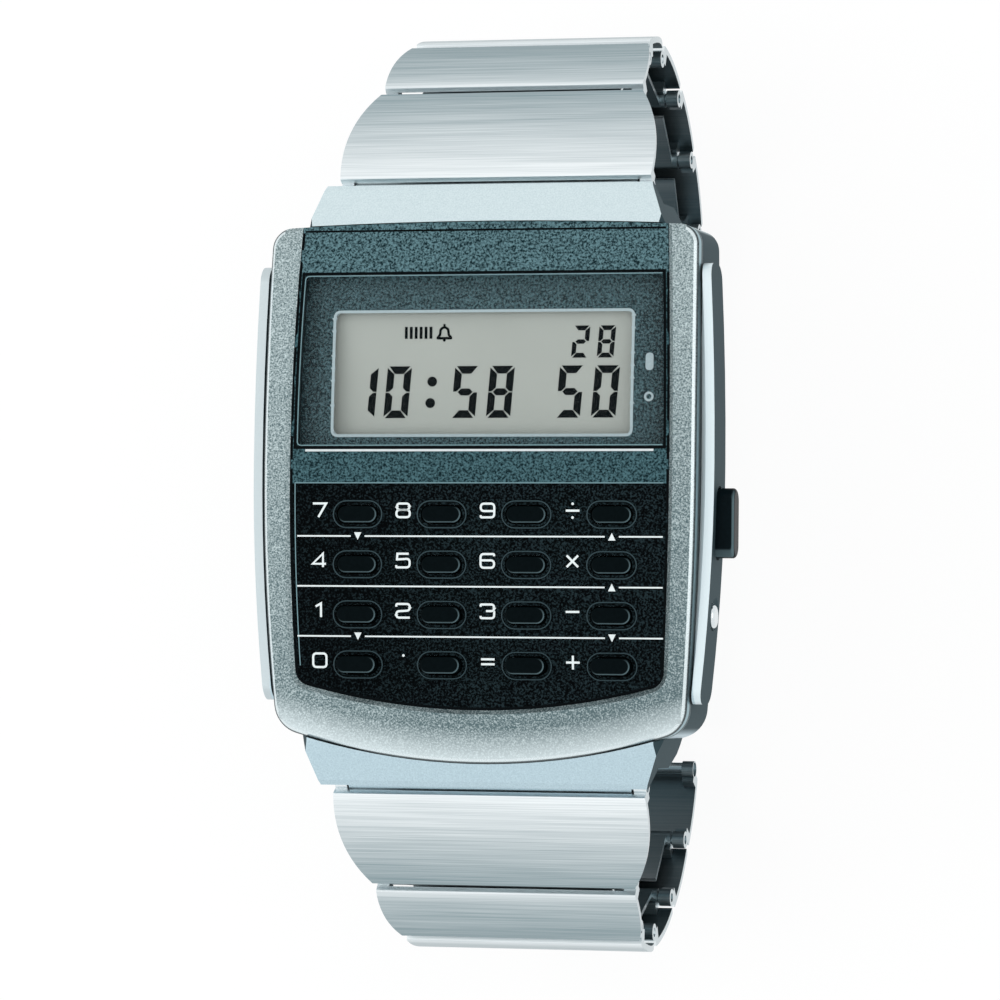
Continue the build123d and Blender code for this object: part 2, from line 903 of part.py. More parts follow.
def clasp_frame():
    half = link_halves[-1]
    plate = Pos(0, (head_start + frame_end) / 2, frame_thickness / 2) * Box(
        2 * frame_half, frame_end - head_start, frame_thickness
    )
    head = Pos(0, (head_start + head_end) / 2, frame_thickness / 2) * Box(
        2 * half, head_end - head_start, frame_thickness
    )
    wall_start = arm_hinge_near + knuckle_radius + arm_gap
    wall_length = frame_end - wall_start
    wall = Box(rail_wall, wall_length, rail_height)
    body = plate + head
    for side in (-1, 1):
        x = side * (frame_half - rail_wall / 2)
        body += Pos(x, wall_start + wall_length / 2, rail_height / 2) * wall
        disc = Circle(barrel_radius)
        web = Pos(head_end / 2, frame_thickness / 2) * Rectangle(head_end, frame_thickness)
        low = half - ear_width if side > 0 else -half
        body += section_between(disc + web, low, low + ear_width)
    body -= rod(pin_radius, -case_width, case_width, 0, 0)
    body -= rod(clasp_pin_radius, -case_width, case_width, arm_hinge_far, arm_centre())
    for number in range(adjust_holes):
        place = adjust_first + adjust_step * number
        body -= rod(adjust_hole_radius, -case_width, case_width, place, arm_centre())
    slot = SlotOverall(adjust_slot_length, adjust_slot_width, rotation=90)
    middle = (arm_hinge_near + arm_hinge_far) / 2
    body -= Pos(0, middle) * prism(slot, -overrun, overrun)
    return body


def clasp_arm():
    half = frame_half - rail_wall - arm_gap
    centre = arm_centre()
    length = arm_hinge_far - arm_hinge_near
    plate = Pos(arm_hinge_near + length / 2, centre) * Rectangle(length, arm_thickness)
    ends = [Pos(place, centre) * Circle(knuckle_radius) for place in (arm_hinge_near, arm_hinge_far)]
    bores = [
        Pos(place, centre) * Circle(clasp_pin_radius + pin_gap)
        for place in (arm_hinge_near, arm_hinge_far)
    ]
    return section(plate + ends - bores, half)


def hook_profile():
    """The end of the cover, bent up to the catch bar and hollowed to seat it."""
    high = cover_low + cover_thickness
    bar = catch_place
    tip = bar - hook_reach
    root = bar - catch_radius - catch_gap - cover_thickness
    body = make_face(Polyline(
        (cover_bend_start, high), (tip - hook_reach, high),
        (tip, high - cover_thickness), (tip, -hook_top), (root, -hook_top),
        (root, cover_low), (cover_bend_start, cover_low),
        close=True,
    ))
    return body - Pos(bar, 0) * Circle(catch_radius + catch_gap)


def clasp_cover():
    high = cover_low + cover_thickness
    plate = Pos(0, (cover_start + cover_wall_end) / 2, cover_low + cover_thickness / 2) * Box(
        2 * cover_half, cover_wall_end - cover_start, cover_thickness
    )
    wall_length = cover_wall_end - cover_wall_start
    wall_height = high - cover_wall_top
    body = plate
    for side in (-1, 1):
        wall = Box(cover_wall, wall_length, wall_height)
        x = side * (cover_half - cover_wall / 2)
        body += Pos(x, cover_wall_start + wall_length / 2, high - wall_height / 2) * wall
    body = fillet(body.edges().filter_by(Axis.Y).group_by(Axis.Z)[-1], cover_edge)
    body += section(hook_profile(), hook_half)
    return body - rod(clasp_pin_radius, -case_width, case_width, arm_hinge_near, arm_centre())


def save_clasp():
    place = clasp_place()
    half = link_halves[-1] - plate_edge
    save("clasp_frame", place * clasp_frame())
    save("clasp_spring_bar", place * rod(pin_radius, -half, half, 0, 0))
    save("clasp_arm", place * clasp_arm())
    far = rod(clasp_pin_radius, -frame_half, frame_half, arm_hinge_far, arm_centre())
    save("clasp_arm_pin", place * far)
    save("clasp_cover", place * clasp_cover())
    reach = cover_half - cover_wall / 4
    near = rod(clasp_pin_radius, -reach, reach, arm_hinge_near, arm_centre())
    save("clasp_cover_pin", place * near)
    save("catch_bar", place * rod(catch_radius, -half, half, catch_place, 0))


def save_head():
    save("case_body", case_body())
    save("front_bezel", front_bezel())
    save("face_panel", face_panel())
    save("display_window", display_window())
    save("display_mask", display_mask())
    save("display_cell", display_cell())
    save("contact_ribs", *contact_ribs())
    save("keypad_membrane", keypad_membrane())
    save("circuit_board", circuit_board())
    save("board_components", *board_components())
    save("module_holder", module_holder())
    save("coin_cell", coin_cell())
    save("battery_clip", battery_clip())
    save("buzzer_disc", buzzer_disc())
    save("buzzer_contact", buzzer_contact())
    save("back_gasket", back_gasket())
    save("case_back", case_back())
    save("back_screws", *back_screws())
    save("button_gaskets", *button_gaskets())
    save("switch_leaves", *switch_leaves())
    save("lug_bars", *lug_bars())


def save_buttons():
    shape = key()
    for row, column, x, y in key_places():
        save(f"key_{row + 1}_{column + 1}", Pos(x, y) * shape)
    save("mode_button", *mode_button())
    save("adjust_button", *adjust_button())


save_head()
save_buttons()
save_links()
save_clasp()
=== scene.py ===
import json
import math
import bpy
import bmesh
from mathutils import Matrix, Vector


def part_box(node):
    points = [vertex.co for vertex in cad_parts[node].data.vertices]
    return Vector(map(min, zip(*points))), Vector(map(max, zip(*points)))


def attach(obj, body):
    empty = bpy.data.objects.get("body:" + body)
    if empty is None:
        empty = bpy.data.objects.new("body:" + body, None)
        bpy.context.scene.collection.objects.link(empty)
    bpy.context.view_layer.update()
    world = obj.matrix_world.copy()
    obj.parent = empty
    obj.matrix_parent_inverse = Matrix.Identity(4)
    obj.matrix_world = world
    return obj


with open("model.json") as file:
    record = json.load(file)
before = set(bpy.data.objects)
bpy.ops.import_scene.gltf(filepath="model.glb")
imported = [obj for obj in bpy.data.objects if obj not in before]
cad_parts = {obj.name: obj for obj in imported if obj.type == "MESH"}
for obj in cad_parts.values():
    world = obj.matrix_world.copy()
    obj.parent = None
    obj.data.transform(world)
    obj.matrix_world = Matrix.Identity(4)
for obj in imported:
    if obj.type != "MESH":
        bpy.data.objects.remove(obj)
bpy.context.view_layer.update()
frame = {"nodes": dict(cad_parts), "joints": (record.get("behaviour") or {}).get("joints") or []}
mm = 0.001

# The dial looks up, 12 o'clock is +Y and the side buttons are at +X. Sizes are in millimetres.
dial = {
    "radius": 150.0,
    "panelSink": 0.3,
    "maskSink": 1.34,
    "cellSink": 2.45,
    "inkHeight": 0.02,
    "inkLift": 0.001,
}
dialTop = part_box("front_bezel")[1].z / mm
linkCount = 6  # on each side of the bracelet
hingePlaces = {
    joint["name"]: Vector(joint["pos_m"]) for joint in frame["joints"] if "_hinge" in joint["name"]
}


def surfaceHeight(y, sink):  # the dial is gently arched from 12 to 6 o'clock
    radius = dial["radius"] - sink
    return dialTop - dial["radius"] + math.sqrt(radius * radius - y * y)


def middleOf(node):
    low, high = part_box(node)
    return (low + high) / 2 / mm


def screenColour(*levels):  # red, green and blue from 0 to 255, as they look on screen
    shares = [level / 255 for level in levels]
    return tuple(c / 12.92 if c <= 0.04045 else ((c + 0.055) / 1.055) ** 2.4 for c in shares)


def tonesOf(look, *names):  # colours of a look by their names
    return [screenColour(*look[name]) for name in names]


class Wire:  # a socket that adds Math nodes when it stands in an expression
    def __init__(self, builder, socket):
        self.builder, self.socket = builder, socket

    def maths(self, operation, *values, clamp=False):
        settings = {"operation": operation, "use_clamp": clamp}
        return self.builder.node("ShaderNodeMath", settings, dict(enumerate(values)))

    def __add__(self, other):
        return self.maths("ADD", self, other)

    def __sub__(self, other):
        return self.maths("SUBTRACT", self, other)

    def __rsub__(self, other):
        return self.maths("SUBTRACT", other, self)

    def __mul__(self, other):
        return self.maths("MULTIPLY", self, other)

    def __truediv__(self, other):
        return self.maths("DIVIDE", self, other)

    def __pow__(self, other):
        return self.maths("POWER", self, other)

    def __gt__(self, other):
        return self.maths("GREATER_THAN", self, other)

    def __lt__(self, other):
        return self.maths("LESS_THAN", self, other)

    def __abs__(self):
        return self.maths("ABSOLUTE", self)

    __radd__ = __add__
    __rmul__ = __mul__

    def clamped(self):
        return self.maths("ADD", self, 0.0, clamp=True)

    def spread(self, gain, floor):  # more contrast, kept between 0 and 1
        return (self * gain - floor).clamped()

    def root(self):
        return self.maths("SQRT", self)

    def turnFrom(self, other):
        return self.maths("ARCTAN2", self, other)


class Builder:  # a node tree with one way to add a node: its type, its settings, then its sockets
    def __init__(self, tree):
        self.tree = tree

    def node(self, kind, settings=None, sockets=None, out=0):
        made = self.tree.nodes.new(kind)
        for key, value in (settings or {}).items():
            if key == "stops":
                self.setStops(made.color_ramp, value)
            else:
                setattr(made, key, value)
        for key, value in (sockets or {}).items():
            if isinstance(value, Wire):
                self.tree.links.new(value.socket, made.inputs[key])
            elif made.inputs[key].type == "RGBA" and len(value) == 3:
                made.inputs[key].default_value = (*value, 1.0)
            else:
                made.inputs[key].default_value = value
        return Wire(self, made.outputs[out]) if made.outputs else made

    def setStops(self, ramp, stops):
        while len(ramp.elements) < len(stops):
            ramp.elements.new(1.0)
        for element, (place, colour) in zip(ramp.elements, stops):
            element.position = place
            element.color = (*colour, 1.0)

    def mixed(self, factor, first, second):
        colours = {0: factor, 6: first, 7: second}
        return self.node("ShaderNodeMix", {"data_type": "RGBA"}, colours, out=2)

    def rowed(self, value, *stops):  # a value turned into a grey by steps from 0 to 1
        greys = [(place, (share, share, share)) for place, share in stops]
        return self.node("ShaderNodeValToRGB", {"stops": greys}, {0: value})

    def parts(self, vector):
        made = self.node("ShaderNodeSeparateXYZ", sockets={0: vector})
        return [Wire(self, output) for output in made.socket.node.outputs]


def backdropSeen(builder):  # 1 for the camera and for what mirrors or lets through the backdrop
    rays = ("Is Camera Ray", "Is Glossy Ray", "Is Transmission Ray")
    camera, glossy, through = (builder.node("ShaderNodeLightPath", out=ray) for ray in rays)
    return (camera + glossy + through).clamped()


class Finish(Builder):
    def __init__(self, name):
        self.material = bpy.data.materials.new(name)
        self.material.use_nodes = True
        super().__init__(self.material.node_tree)
        self.tree.nodes.clear()
        self.place = self.node("ShaderNodeTexCoord", out="Object")
        self.facing = self.node("ShaderNodeTexCoord", out="Normal")

    def noise(self, place, scale, detail, roughness):
        sockets = {"Vector": place, "Scale": scale, "Detail": detail, "Roughness": roughness}
        return self.node("ShaderNodeTexNoise", sockets=sockets)

    def grain(self, size, detail=2.0, roughness=0.6):  # size in millimetres
        return self.noise(self.place, 1 / (size * mm), detail, roughness)

    def streaks(self, size, length, detail=2.0, roughness=0.65):  # fine lines along X
        scale = (1 / (length * mm), 1 / (size * mm), 1 / (size * mm))
        sockets = {"Vector": self.place, "Scale": scale}
        return self.noise(self.node("ShaderNodeMapping", sockets=sockets), 1.0, detail, roughness)

    def bumped(self, height, depth, strength=1.0):  # depth in millimetres
        sockets = {"Height": height, "Distance": depth * mm, "Strength": strength}
        return self.node("ShaderNodeBump", sockets=sockets)

    def shade(self, **sockets):
        named = {key.replace("_", " "): value for key, value in sockets.items()}
        surface = self.node("ShaderNodeBsdfPrincipled", sockets=named)
        self.node("ShaderNodeOutputMaterial", sockets={"Surface": surface})
        return self.material


plateLook = {
    "light": (244, 250, 252),
    "dark": (132, 152, 158),
    # painted shade on the faces inside the loop
    "innerShade": (66, 78, 83),
    "innerShadeShare": 0.85,
    "loopCentre": 16.0,
    "inwardReach": 8.0,
    "inwardFrom": 1.4,
    "height": 1.45,
    # painted highlight, middle and painted shade tones along the first link, then along the others
    "firstTones": (1.0, 0.72, 0.08),
    "otherTones": (1.0, 0.35, 0.0),
    "kneeShare": 0.2,
    "seamShare": 0.01,
    "lineSize": 0.055,
    "lineLength": 14.0,
    "lineShare": 0.85,
    "lineDepth": 0.004,
    "broadSize": 0.5,
    "broadLength": 16.0,
    "broadShare": 0.35,
    "endTone": 0.5,
    "endSteps": ((0.5, 0.0), (0.8, 1.0)),
    "wearSize": 1.6,
    "roughness": 0.3,
    "lineRoughness": 0.12,
    "wearRoughness": 0.03,
    "bump": 0.4,
}


def inwardShadeMask(finish):  # 1 where a face of the bracelet looks at the wrist; these faces get painted shade
    _, y, z = finish.parts(finish.place)
    _, across, up = finish.parts(finish.facing)
    lean = y * across + (z - plateLook["loopCentre"] * mm) * up
    return (lean / (-plateLook["inwardReach"] * mm) - plateLook["inwardFrom"]).clamped()


def seamTurns():  # how far round the loop each link starts, as a share of half a turn
    names = [f"link_12_{k + 1}_hinge" for k in range(linkCount)] + ["clasp_frame_hinge"]
    points = [hingePlaces[name].yz / mm for name in names]
    turns = []
    for i, point in enumerate(points):
        run = points[min(i + 1, linkCount)] - points[max(i - 1, 0)]
        out = Vector((-run.y, run.x)).normalized() * plateLook["height"]
        y, z = point + out
        turns.append(math.atan2(y, z - plateLook["loopCentre"]) / math.pi)
    return turns


def linkPaintedLight(finish):  # painted light along each link: a painted highlight at the end nearer the watch, painted shade towards its far end
    _, y, z = finish.parts(finish.place)
    turn = abs(y).turnFrom(z - plateLook["loopCentre"] * mm) / math.pi
    turns = seamTurns()
    stops = []
    for start, end in zip(turns, turns[1:]):
        span = end - start
        near, knee, far = plateLook["firstTones" if start == turns[0] else "otherTones"]
        stops.append((start, near))
        stops.append((start + plateLook["kneeShare"] * span, knee))
        stops.append((end - plateLook["seamShare"] * span, far))
    return finish.rowed(turn, *stops)


def brushedPlate():
    finish, look = Finish("brushedPlate"), plateLook
    lines = finish.streaks(look["lineSize"], look["lineLength"])
    broad = finish.streaks(look["broadSize"], look["broadLength"])
    # the tone is the painted highlight and shade of each link plus brushed streaks
    tone = linkPaintedLight(finish) + (lines - 0.5) * look["lineShare"]
    tone = (tone + (broad - 0.5) * look["broadShare"]).clamped()
    end = finish.rowed(abs(finish.parts(finish.facing)[0]), *look["endSteps"])
    tone = tone * (1 - end) + end * look["endTone"]
    dark, light, innerShade = tonesOf(look, "dark", "light", "innerShade")
    outer = finish.mixed(tone, dark, light)
    wear = finish.grain(look["wearSize"], detail=3.0)
    rough = look["roughness"] + lines * look["lineRoughness"] * (1 - end)
    return finish.shade(
        Base_Color=finish.mixed(inwardShadeMask(finish) * look["innerShadeShare"], outer, innerShade),
        Metallic=1.0,
        Roughness=rough + wear * look["wearRoughness"],
        Normal=finish.bumped(lines, look["lineDepth"], look["bump"]),
    )


caseLook = {
    "light": (224, 238, 241),
    "dark": (194, 212, 217),
    # painted shade: darker, bluer tones of the faces towards 6 o'clock
    "sixShadeLight": (200, 222, 231),
    "sixShadeDark": (168, 191, 201),
    # painted shade and dark reflection on the upright walls
    "side": (62, 80, 86),
    # painted light: the right rail lit, the left rail in painted shade
    "railLit": (228, 241, 245),
    "railShaded": (196, 206, 209),
    "railInner": 15.7,
    "railShare": 0.85,
    "wallSteps": ((0.0, 0.0), (0.45, 0.1), (0.75, 1.0)),
    "length": 40.0,
    "speckle": 0.11,
    "speckleDepth": 0.008,
    "contrast": (1.6, 0.3),
    "roughness": 0.34,
    "speckleRoughness": 0.1,
    "wallRoughness": 0.3,
    "bump": 0.35,
}


def caseSteel():  # satin faces with painted shade towards 6 o'clock, upright walls painted dark as painted shade, and the left rail in painted shade
    finish, look = Finish("caseSteel"), caseLook
    speckle = finish.grain(look["speckle"])
    side = finish.parts(finish.facing)[0]
    wall = finish.rowed(abs(side), *look["wallSteps"])
    x, y, _ = finish.parts(finish.place)
    tone = speckle.spread(*look["contrast"])
    shadedSix = finish.mixed(tone, *tonesOf(look, "sixShadeDark", "sixShadeLight"))
    litTwelve = finish.mixed(tone, *tonesOf(look, "dark", "light"))
    # painted shade: the faces blend from the lit 12 o'clock tones to the shaded 6 o'clock tones
    face = finish.mixed((y / (look["length"] * mm) + 0.5).clamped(), shadedSix, litTwelve)
    # painted light on the rails: lit on the right, painted shade on the left
    rail = finish.mixed(x > 0.0, *tonesOf(look, "railShaded", "railLit"))
    onRail = abs(x) > look["railInner"] * mm
    face = finish.mixed(onRail * look["railShare"], face, rail)
    rough = look["roughness"] + speckle * look["speckleRoughness"]
    return finish.shade(
        # upright walls take the painted shade colour
        Base_Color=finish.mixed(wall, face, *tonesOf(look, "side")),
        Metallic=1.0,
        Roughness=rough + wall * look["wallRoughness"],
        Normal=finish.bumped(speckle, look["speckleDepth"], look["bump"]),
    )


bezelLook = {
    "light": (199, 214, 216),
    "dark": (84, 104, 108),
    # painted highlight colour, for the foot and the crest of the outer bevels
    "edge": (226, 238, 241),
    # painted shade on the outer bevels below their crest
    "bevelShade": (30, 40, 44),
    # painted shade on the upright walls, and a painted highlight band across them
    "side": (62, 80, 86),
    "band": (150, 178, 186),
    "coarse": 0.12,
    "coarseDepth": 0.02,
    "fine": 0.05,
    "contrast": (3.0, 1.55),
    "thickness": 1.6,
    "outerX": 14.9,
    "outerY": -17.0,
    "edgeShare": 0.85,
    "bevelSteps": ((0.2, 0.0), (0.45, 1.0), (0.9, 1.0), (0.95, 0.0)),
    "wallSteps": ((0.25, 1.0), (0.45, 0.0)),
    "crestSteps": ((0.1, 1.0), (0.14, 0.0)),
    "wallHighlightSteps": ((0.24, 0.0), (0.3, 1.0), (0.65, 1.0), (0.78, 0.0)),
    # where and how strongly painted shade darkens the bezel face
    "fallTop": 13.0,
    "fallLength": 30.0,
    "fallWidth": 28.0,
    "fallShares": (0.2, 0.15),
    "footLow": 20.0,
    "footRadius": 43.3,
    # width and strength of the painted highlight at the foot
    "footHighlightWidth": 2.5,
    "footHighlightShare": 0.75,
    "metallic": 0.85,
    "roughness": 0.42,
    "coarseRoughness": 0.12,
    "bevelPolish": 0.2,
    "bump": 0.4,
}


def footHighlight(finish):  # painted highlight: 1 at the lower edge of the bezel, 0 above its foot
    x, y, _ = finish.parts(finish.place)
    look = bezelLook
    margin = y + look["footLow"] * mm - x * x / (2 * look["footRadius"] * mm)
    return (1 - margin / (look["footHighlightWidth"] * mm)).clamped()


def bezelPaintedShade(finish):  # painted shade: how much darker the bezel is towards 6 o'clock, more on the right
    x, y, _ = finish.parts(finish.place)
    look = bezelLook
    left, more = look["fallShares"]
    down = ((look["fallTop"] * mm - y) / (look["fallLength"] * mm)).clamped()
    right = (x / (look["fallWidth"] * mm) + 0.5).clamped()
    return down * (right * more + left)


def blastedBezel():  # grainy face with painted shade towards 6 o'clock and a painted highlight at the foot; outer bevels with a painted highlight line over painted shade; upright walls in painted shade with a painted highlight band
    finish, look = Finish("blastedBezel"), bezelLook
    coarse = finish.grain(look["coarse"], detail=3.0)
    fine = finish.grain(look["fine"], detail=1.0)
    x, y, z = finish.parts(finish.place)
    radius = dial["radius"] * mm
    arch = (radius * radius - y * y).root() + (dialTop * mm - radius)
    drop = (arch - z) / (look["thickness"] * mm)  # 0 at the top face, 1 at the underside
    gain, floor = look["contrast"]
    tone = (coarse * gain + fine - floor - bezelPaintedShade(finish)).clamped()
    up = finish.parts(finish.facing)[2]
    outer = (abs(x) > look["outerX"] * mm) + (y < look["outerY"] * mm)
    bevel = finish.rowed(up, *look["bevelSteps"]) * outer.clamped()
    wall = finish.rowed(up, *look["wallSteps"])
    crest = finish.rowed(drop, *look["crestSteps"])
    wallHighlight = finish.rowed(drop, *look["wallHighlightSteps"])
    dark, light, bevelShade, edge = tonesOf(look, "dark", "light", "bevelShade", "edge")
    face = finish.mixed(tone, dark, light)
    face = finish.mixed(footHighlight(finish) * look["footHighlightShare"], face, edge)
    # outer bevels: a painted highlight line at the crest over painted shade
    face = finish.mixed(bevel * look["edgeShare"], face, finish.mixed(crest, bevelShade, edge))
    # upright walls: painted shade with a painted highlight band
    sides = finish.mixed(wallHighlight, *tonesOf(look, "side", "band"))
    rough = look["roughness"] + coarse * look["coarseRoughness"]
    return finish.shade(
        Base_Color=finish.mixed(wall, face, sides),
        Metallic=look["metallic"],
        Roughness=rough - bevel * look["bevelPolish"],
        Normal=finish.bumped(coarse, look["coarseDepth"], look["bump"]),
    )


polishedLook = {
    "dark": (206, 216, 219),
    "light": (230, 236, 238),
    "smudge": 0.8,
    "hairSize": 0.05,
    "hairLength": 2.0,
    "hairDepth": 0.002,
    "roughness": 0.1,
    "smudgeRoughness": 0.08,
    "hairRoughness": 0.05,
    "bump": 0.4,
}


def polishedSteel():
    finish, look = Finish("polishedSteel"), polishedLook
    smudge = finish.grain(look["smudge"], detail=3.0)
    hair = finish.streaks(look["hairSize"], look["hairLength"], detail=3.0)
    rough = look["roughness"] + smudge * look["smudgeRoughness"]
    return finish.shade(
        Base_Color=finish.mixed(smudge, *tonesOf(look, "dark", "light")),
        Metallic=1.0,
        Roughness=rough + hair * look["hairRoughness"],
        Normal=finish.bumped(hair, look["hairDepth"], look["bump"]),
    )


panelLook = {
    "bandDark": (13, 31, 36),
    "bandLight": (94, 126, 133),
    "stripDark": (10, 28, 33),
    "stripLight": (72, 104, 111),
    "keypadDark": (2, 4, 5),
    "keypadLight": (42, 58, 63),
    "grain": 0.16,
    "grainDepth": 0.012,
    "contrast": (5.0, 2.0),
    "sparse": 0.4,
    # painted shade: the keypad grows darker towards the left
    "leftShadeReach": 14.0,
    "leftShadeShare": 0.25,
    "bandLow": 15.0,
    "stripLow": 0.02,
    "roughness": 0.5,
    "grainRoughness": 0.2,
    "gloss": 0.015,
    "bump": 0.5,
}


def facePanel():  # speckled band, strip and keypad, one above the other
    finish, look = Finish("facePanel"), panelLook
    grain = finish.grain(look["grain"], detail=3.0, roughness=0.7)
    x, y, _ = finish.parts(finish.place)
    tone = grain.spread(*look["contrast"])
    # painted shade towards the left of the keypad
    left = (x / (-look["leftShadeReach"] * mm)).clamped()
    sparse = (tone - left * look["leftShadeShare"] - look["sparse"]).clamped()
    band = finish.mixed(tone, *tonesOf(look, "bandDark", "bandLight"))
    strip = finish.mixed(tone, *tonesOf(look, "stripDark", "stripLight"))
    keypadTone = finish.mixed(sparse, *tonesOf(look, "keypadDark", "keypadLight"))
    lower = finish.mixed(y > look["stripLow"] * mm, keypadTone, strip)
    return finish.shade(
        Base_Color=finish.mixed(y > look["bandLow"] * mm, lower, band),
        Roughness=look["roughness"] + grain * look["grainRoughness"],
        Specular_IOR_Level=look["gloss"],
        Normal=finish.bumped(grain, look["grainDepth"], look["bump"]),
    )


maskLook = {
    "dark": (18, 37, 42),
    "light": (82, 113, 120),
    # painted light on the upright walls round the display
    "paintedWallLight": (206, 224, 230),
    "grain": 0.16,
    "contrast": (4.0, 1.5),
    "halfWidth": 13.0,
    "edgePower": 10.0,
    "edgeShare": 0.25,
    "rimSteps": ((0.3, 1.0), (0.6, 0.0)),
    "roughness": 0.5,
    "grainRoughness": 0.1,
    "gloss": 0.2,
}


def displayMask():  # speckled, darker at both sides, with painted light on the walls round the display
    finish, look = Finish("displayMask"), maskLook
    grain = finish.grain(look["grain"])
    x = finish.parts(finish.place)[0]
    edge = (abs(x) / (look["halfWidth"] * mm)) ** look["edgePower"]
    gain, floor = look["contrast"]
    tone = (grain * gain - floor - edge * look["edgeShare"]).clamped()
    face = finish.mixed(tone, *tonesOf(look, "dark", "light"))
    upright = finish.rowed(abs(finish.parts(finish.facing)[2]), *look["rimSteps"])
    return finish.shade(
        Base_Color=finish.mixed(upright, face, *tonesOf(look, "paintedWallLight")),
        Roughness=look["roughness"] + grain * look["grainRoughness"],
        Specular_IOR_Level=look["gloss"],
    )


glassLook = {
    "tone": (20, 30, 32),
    "film": 6.0,
    "roughness": 0.06,
    "filmRoughness": 0.03,
    "alpha": 0.07,
    "filmAlpha": 0.02,
    "ior": 1.5,
}


def windowGlass():
    finish, look = Finish("windowGlass"), glassLook
    film = finish.grain(look["film"])
    return finish.shade(
        Base_Color=tonesOf(look, "tone")[0],
        Roughness=look["roughness"] + film * look["filmRoughness"],
        Alpha=look["alpha"] + film * look["filmAlpha"],
        IOR=look["ior"],
    )


cellLook = {
    "dark": (172, 179, 173),
    "light": (184, 191, 185),
    "cloud": 9.0,
    "fine": 0.2,
    "fineShare": 0.2,
    "roughness": 0.55,
    "fineRoughness": 0.05,
}


def displayCell():
    finish, look = Finish("displayCell"), cellLook
    cloud = finish.grain(look["cloud"])
    fine = finish.grain(look["fine"])
    tone = cloud * (1 - look["fineShare"]) + fine * look["fineShare"]
    colour = finish.mixed(tone, *tonesOf(look, "dark", "light"))
    rough = look["roughness"] + fine * look["fineRoughness"]
    return finish.shade(Base_Color=colour, Roughness=rough)


inkLook = {"dark": (2, 6, 7), "light": (10, 16, 18), "grain": 0.3, "roughness": 0.6, "gloss": 0.02}


def displayInk():
    finish, look = Finish("displayInk"), inkLook
    colour = finish.mixed(finish.grain(look["grain"]), *tonesOf(look, "dark", "light"))
    return finish.shade(
        Base_Color=colour, Roughness=look["roughness"], Specular_IOR_Level=look["gloss"]
    )


printLook = {"grain": 0.12, "dullShare": 0.86, "roughness": 0.55, "grainRoughness": 0.1}


def printed(name, tone):
    finish, look = Finish(name), printLook
    fine = finish.grain(look["grain"])
    dull = [c * look["dullShare"] for c in tone]
    colour = finish.mixed(fine, screenColour(*dull), screenColour(*tone))
    rough = look["roughness"] + fine * look["grainRoughness"]
    return finish.shade(Base_Color=colour, Roughness=rough)


glossLook = {
    # painted highlight on the rounded edges of keys and buttons
    "edgeHighlight": (96, 118, 124),
    "edgeHighlightShare": 0.8,
    "rimSteps": ((0.3, 0.0), (0.45, 1.0), (0.9, 1.0), (0.96, 0.0)),
    "highlightShares": (0.9, 0.7, 0.25),
    "grain": 0.25,
    "grainDepth": 0.004,
    "contrast": (1.6, 0.4),
    "lighter": (1.4, 2.0),
    "grainRoughness": 0.1,
    "gloss": 0.02,
    "bump": 0.3,
}


def glossBlack(name, tone, roughness):
    finish, look = Finish(name), glossLook
    fine = finish.grain(look["grain"], detail=3.0)
    times, plus = look["lighter"]
    light = [c * times + plus for c in tone]
    speckle = fine.spread(*look["contrast"])
    colour = finish.mixed(speckle, screenColour(*tone), screenColour(*light))
    across, along, up = finish.parts(finish.facing)
    right, lower, everywhere = look["highlightShares"]  # painted highlight, strongest on the right and lower sides
    highlightFacing = (across * right - along * lower + everywhere).clamped()
    edgeHighlight = finish.rowed(up, *look["rimSteps"]) * highlightFacing * look["edgeHighlightShare"]
    return finish.shade(
        Base_Color=finish.mixed(edgeHighlight, colour, *tonesOf(look, "edgeHighlight")),
        Roughness=roughness + fine * look["grainRoughness"],
        Specular_IOR_Level=look["gloss"],
        Normal=finish.bumped(fine, look["grainDepth"], look["bump"]),
    )


softLook = {
    "grain": 0.35,
    "grainDepth": 0.01,
    "lighter": (1.18, 4.0),
    "grainRoughness": 0.08,
    "bump": 0.3,
}


def plainSoft(name, tone, roughness, metallic=0.0, gloss=0.5):
    finish, look = Finish(name), softLook
    fine = finish.grain(look["grain"], detail=4.0)
    times, plus = look["lighter"]
    light = [min(255, c * times + plus) for c in tone]
    return finish.shade(
        Base_Color=finish.mixed(fine, screenColour(*tone), screenColour(*light)),
        Metallic=metallic,
        Roughness=roughness + fine * look["grainRoughness"],
        Specular_IOR_Level=gloss,
        Normal=finish.bumped(fine, look["grainDepth"], look["bump"]),
    )


finishes = {
    "plate": brushedPlate(),
    "case": caseSteel(),
    "bezel": blastedBezel(),
    "polished": polishedSteel(),
    "panel": facePanel(),
    "mask": displayMask(),
    "glass": windowGlass(),
    "cell": displayCell(),
    "ink": displayInk(),
    "print": printed("printedWhite", (232, 242, 243)),
    "mark": printed("markerBlue", (190, 212, 218)),
    "line": plainSoft("edgeLine", (98, 126, 132), 0.45, gloss=0.1),
    "gap": plainSoft("darkGap", (4, 8, 10), 0.7, gloss=0.03),
    "key": glossBlack("keyBlack", (3, 9, 11), 0.28),
    "button": glossBlack("buttonBlack", (7, 15, 18), 0.16),
    "ring": plainSoft("keyRing", (40, 56, 61), 0.4, gloss=0.15),
    "rubber": plainSoft("blackRubber", (22, 24, 25), 0.8),
    "pad": plainSoft("greyRubber", (92, 95, 96), 0.75),
    "board": plainSoft("circuitBoard", (26, 84, 52), 0.45),
    "chip": plainSoft("moduleBlack", (24, 25, 27), 0.55),
    "brass": plainSoft("contactBrass", (190, 158, 92), 0.28, metallic=1.0),
}
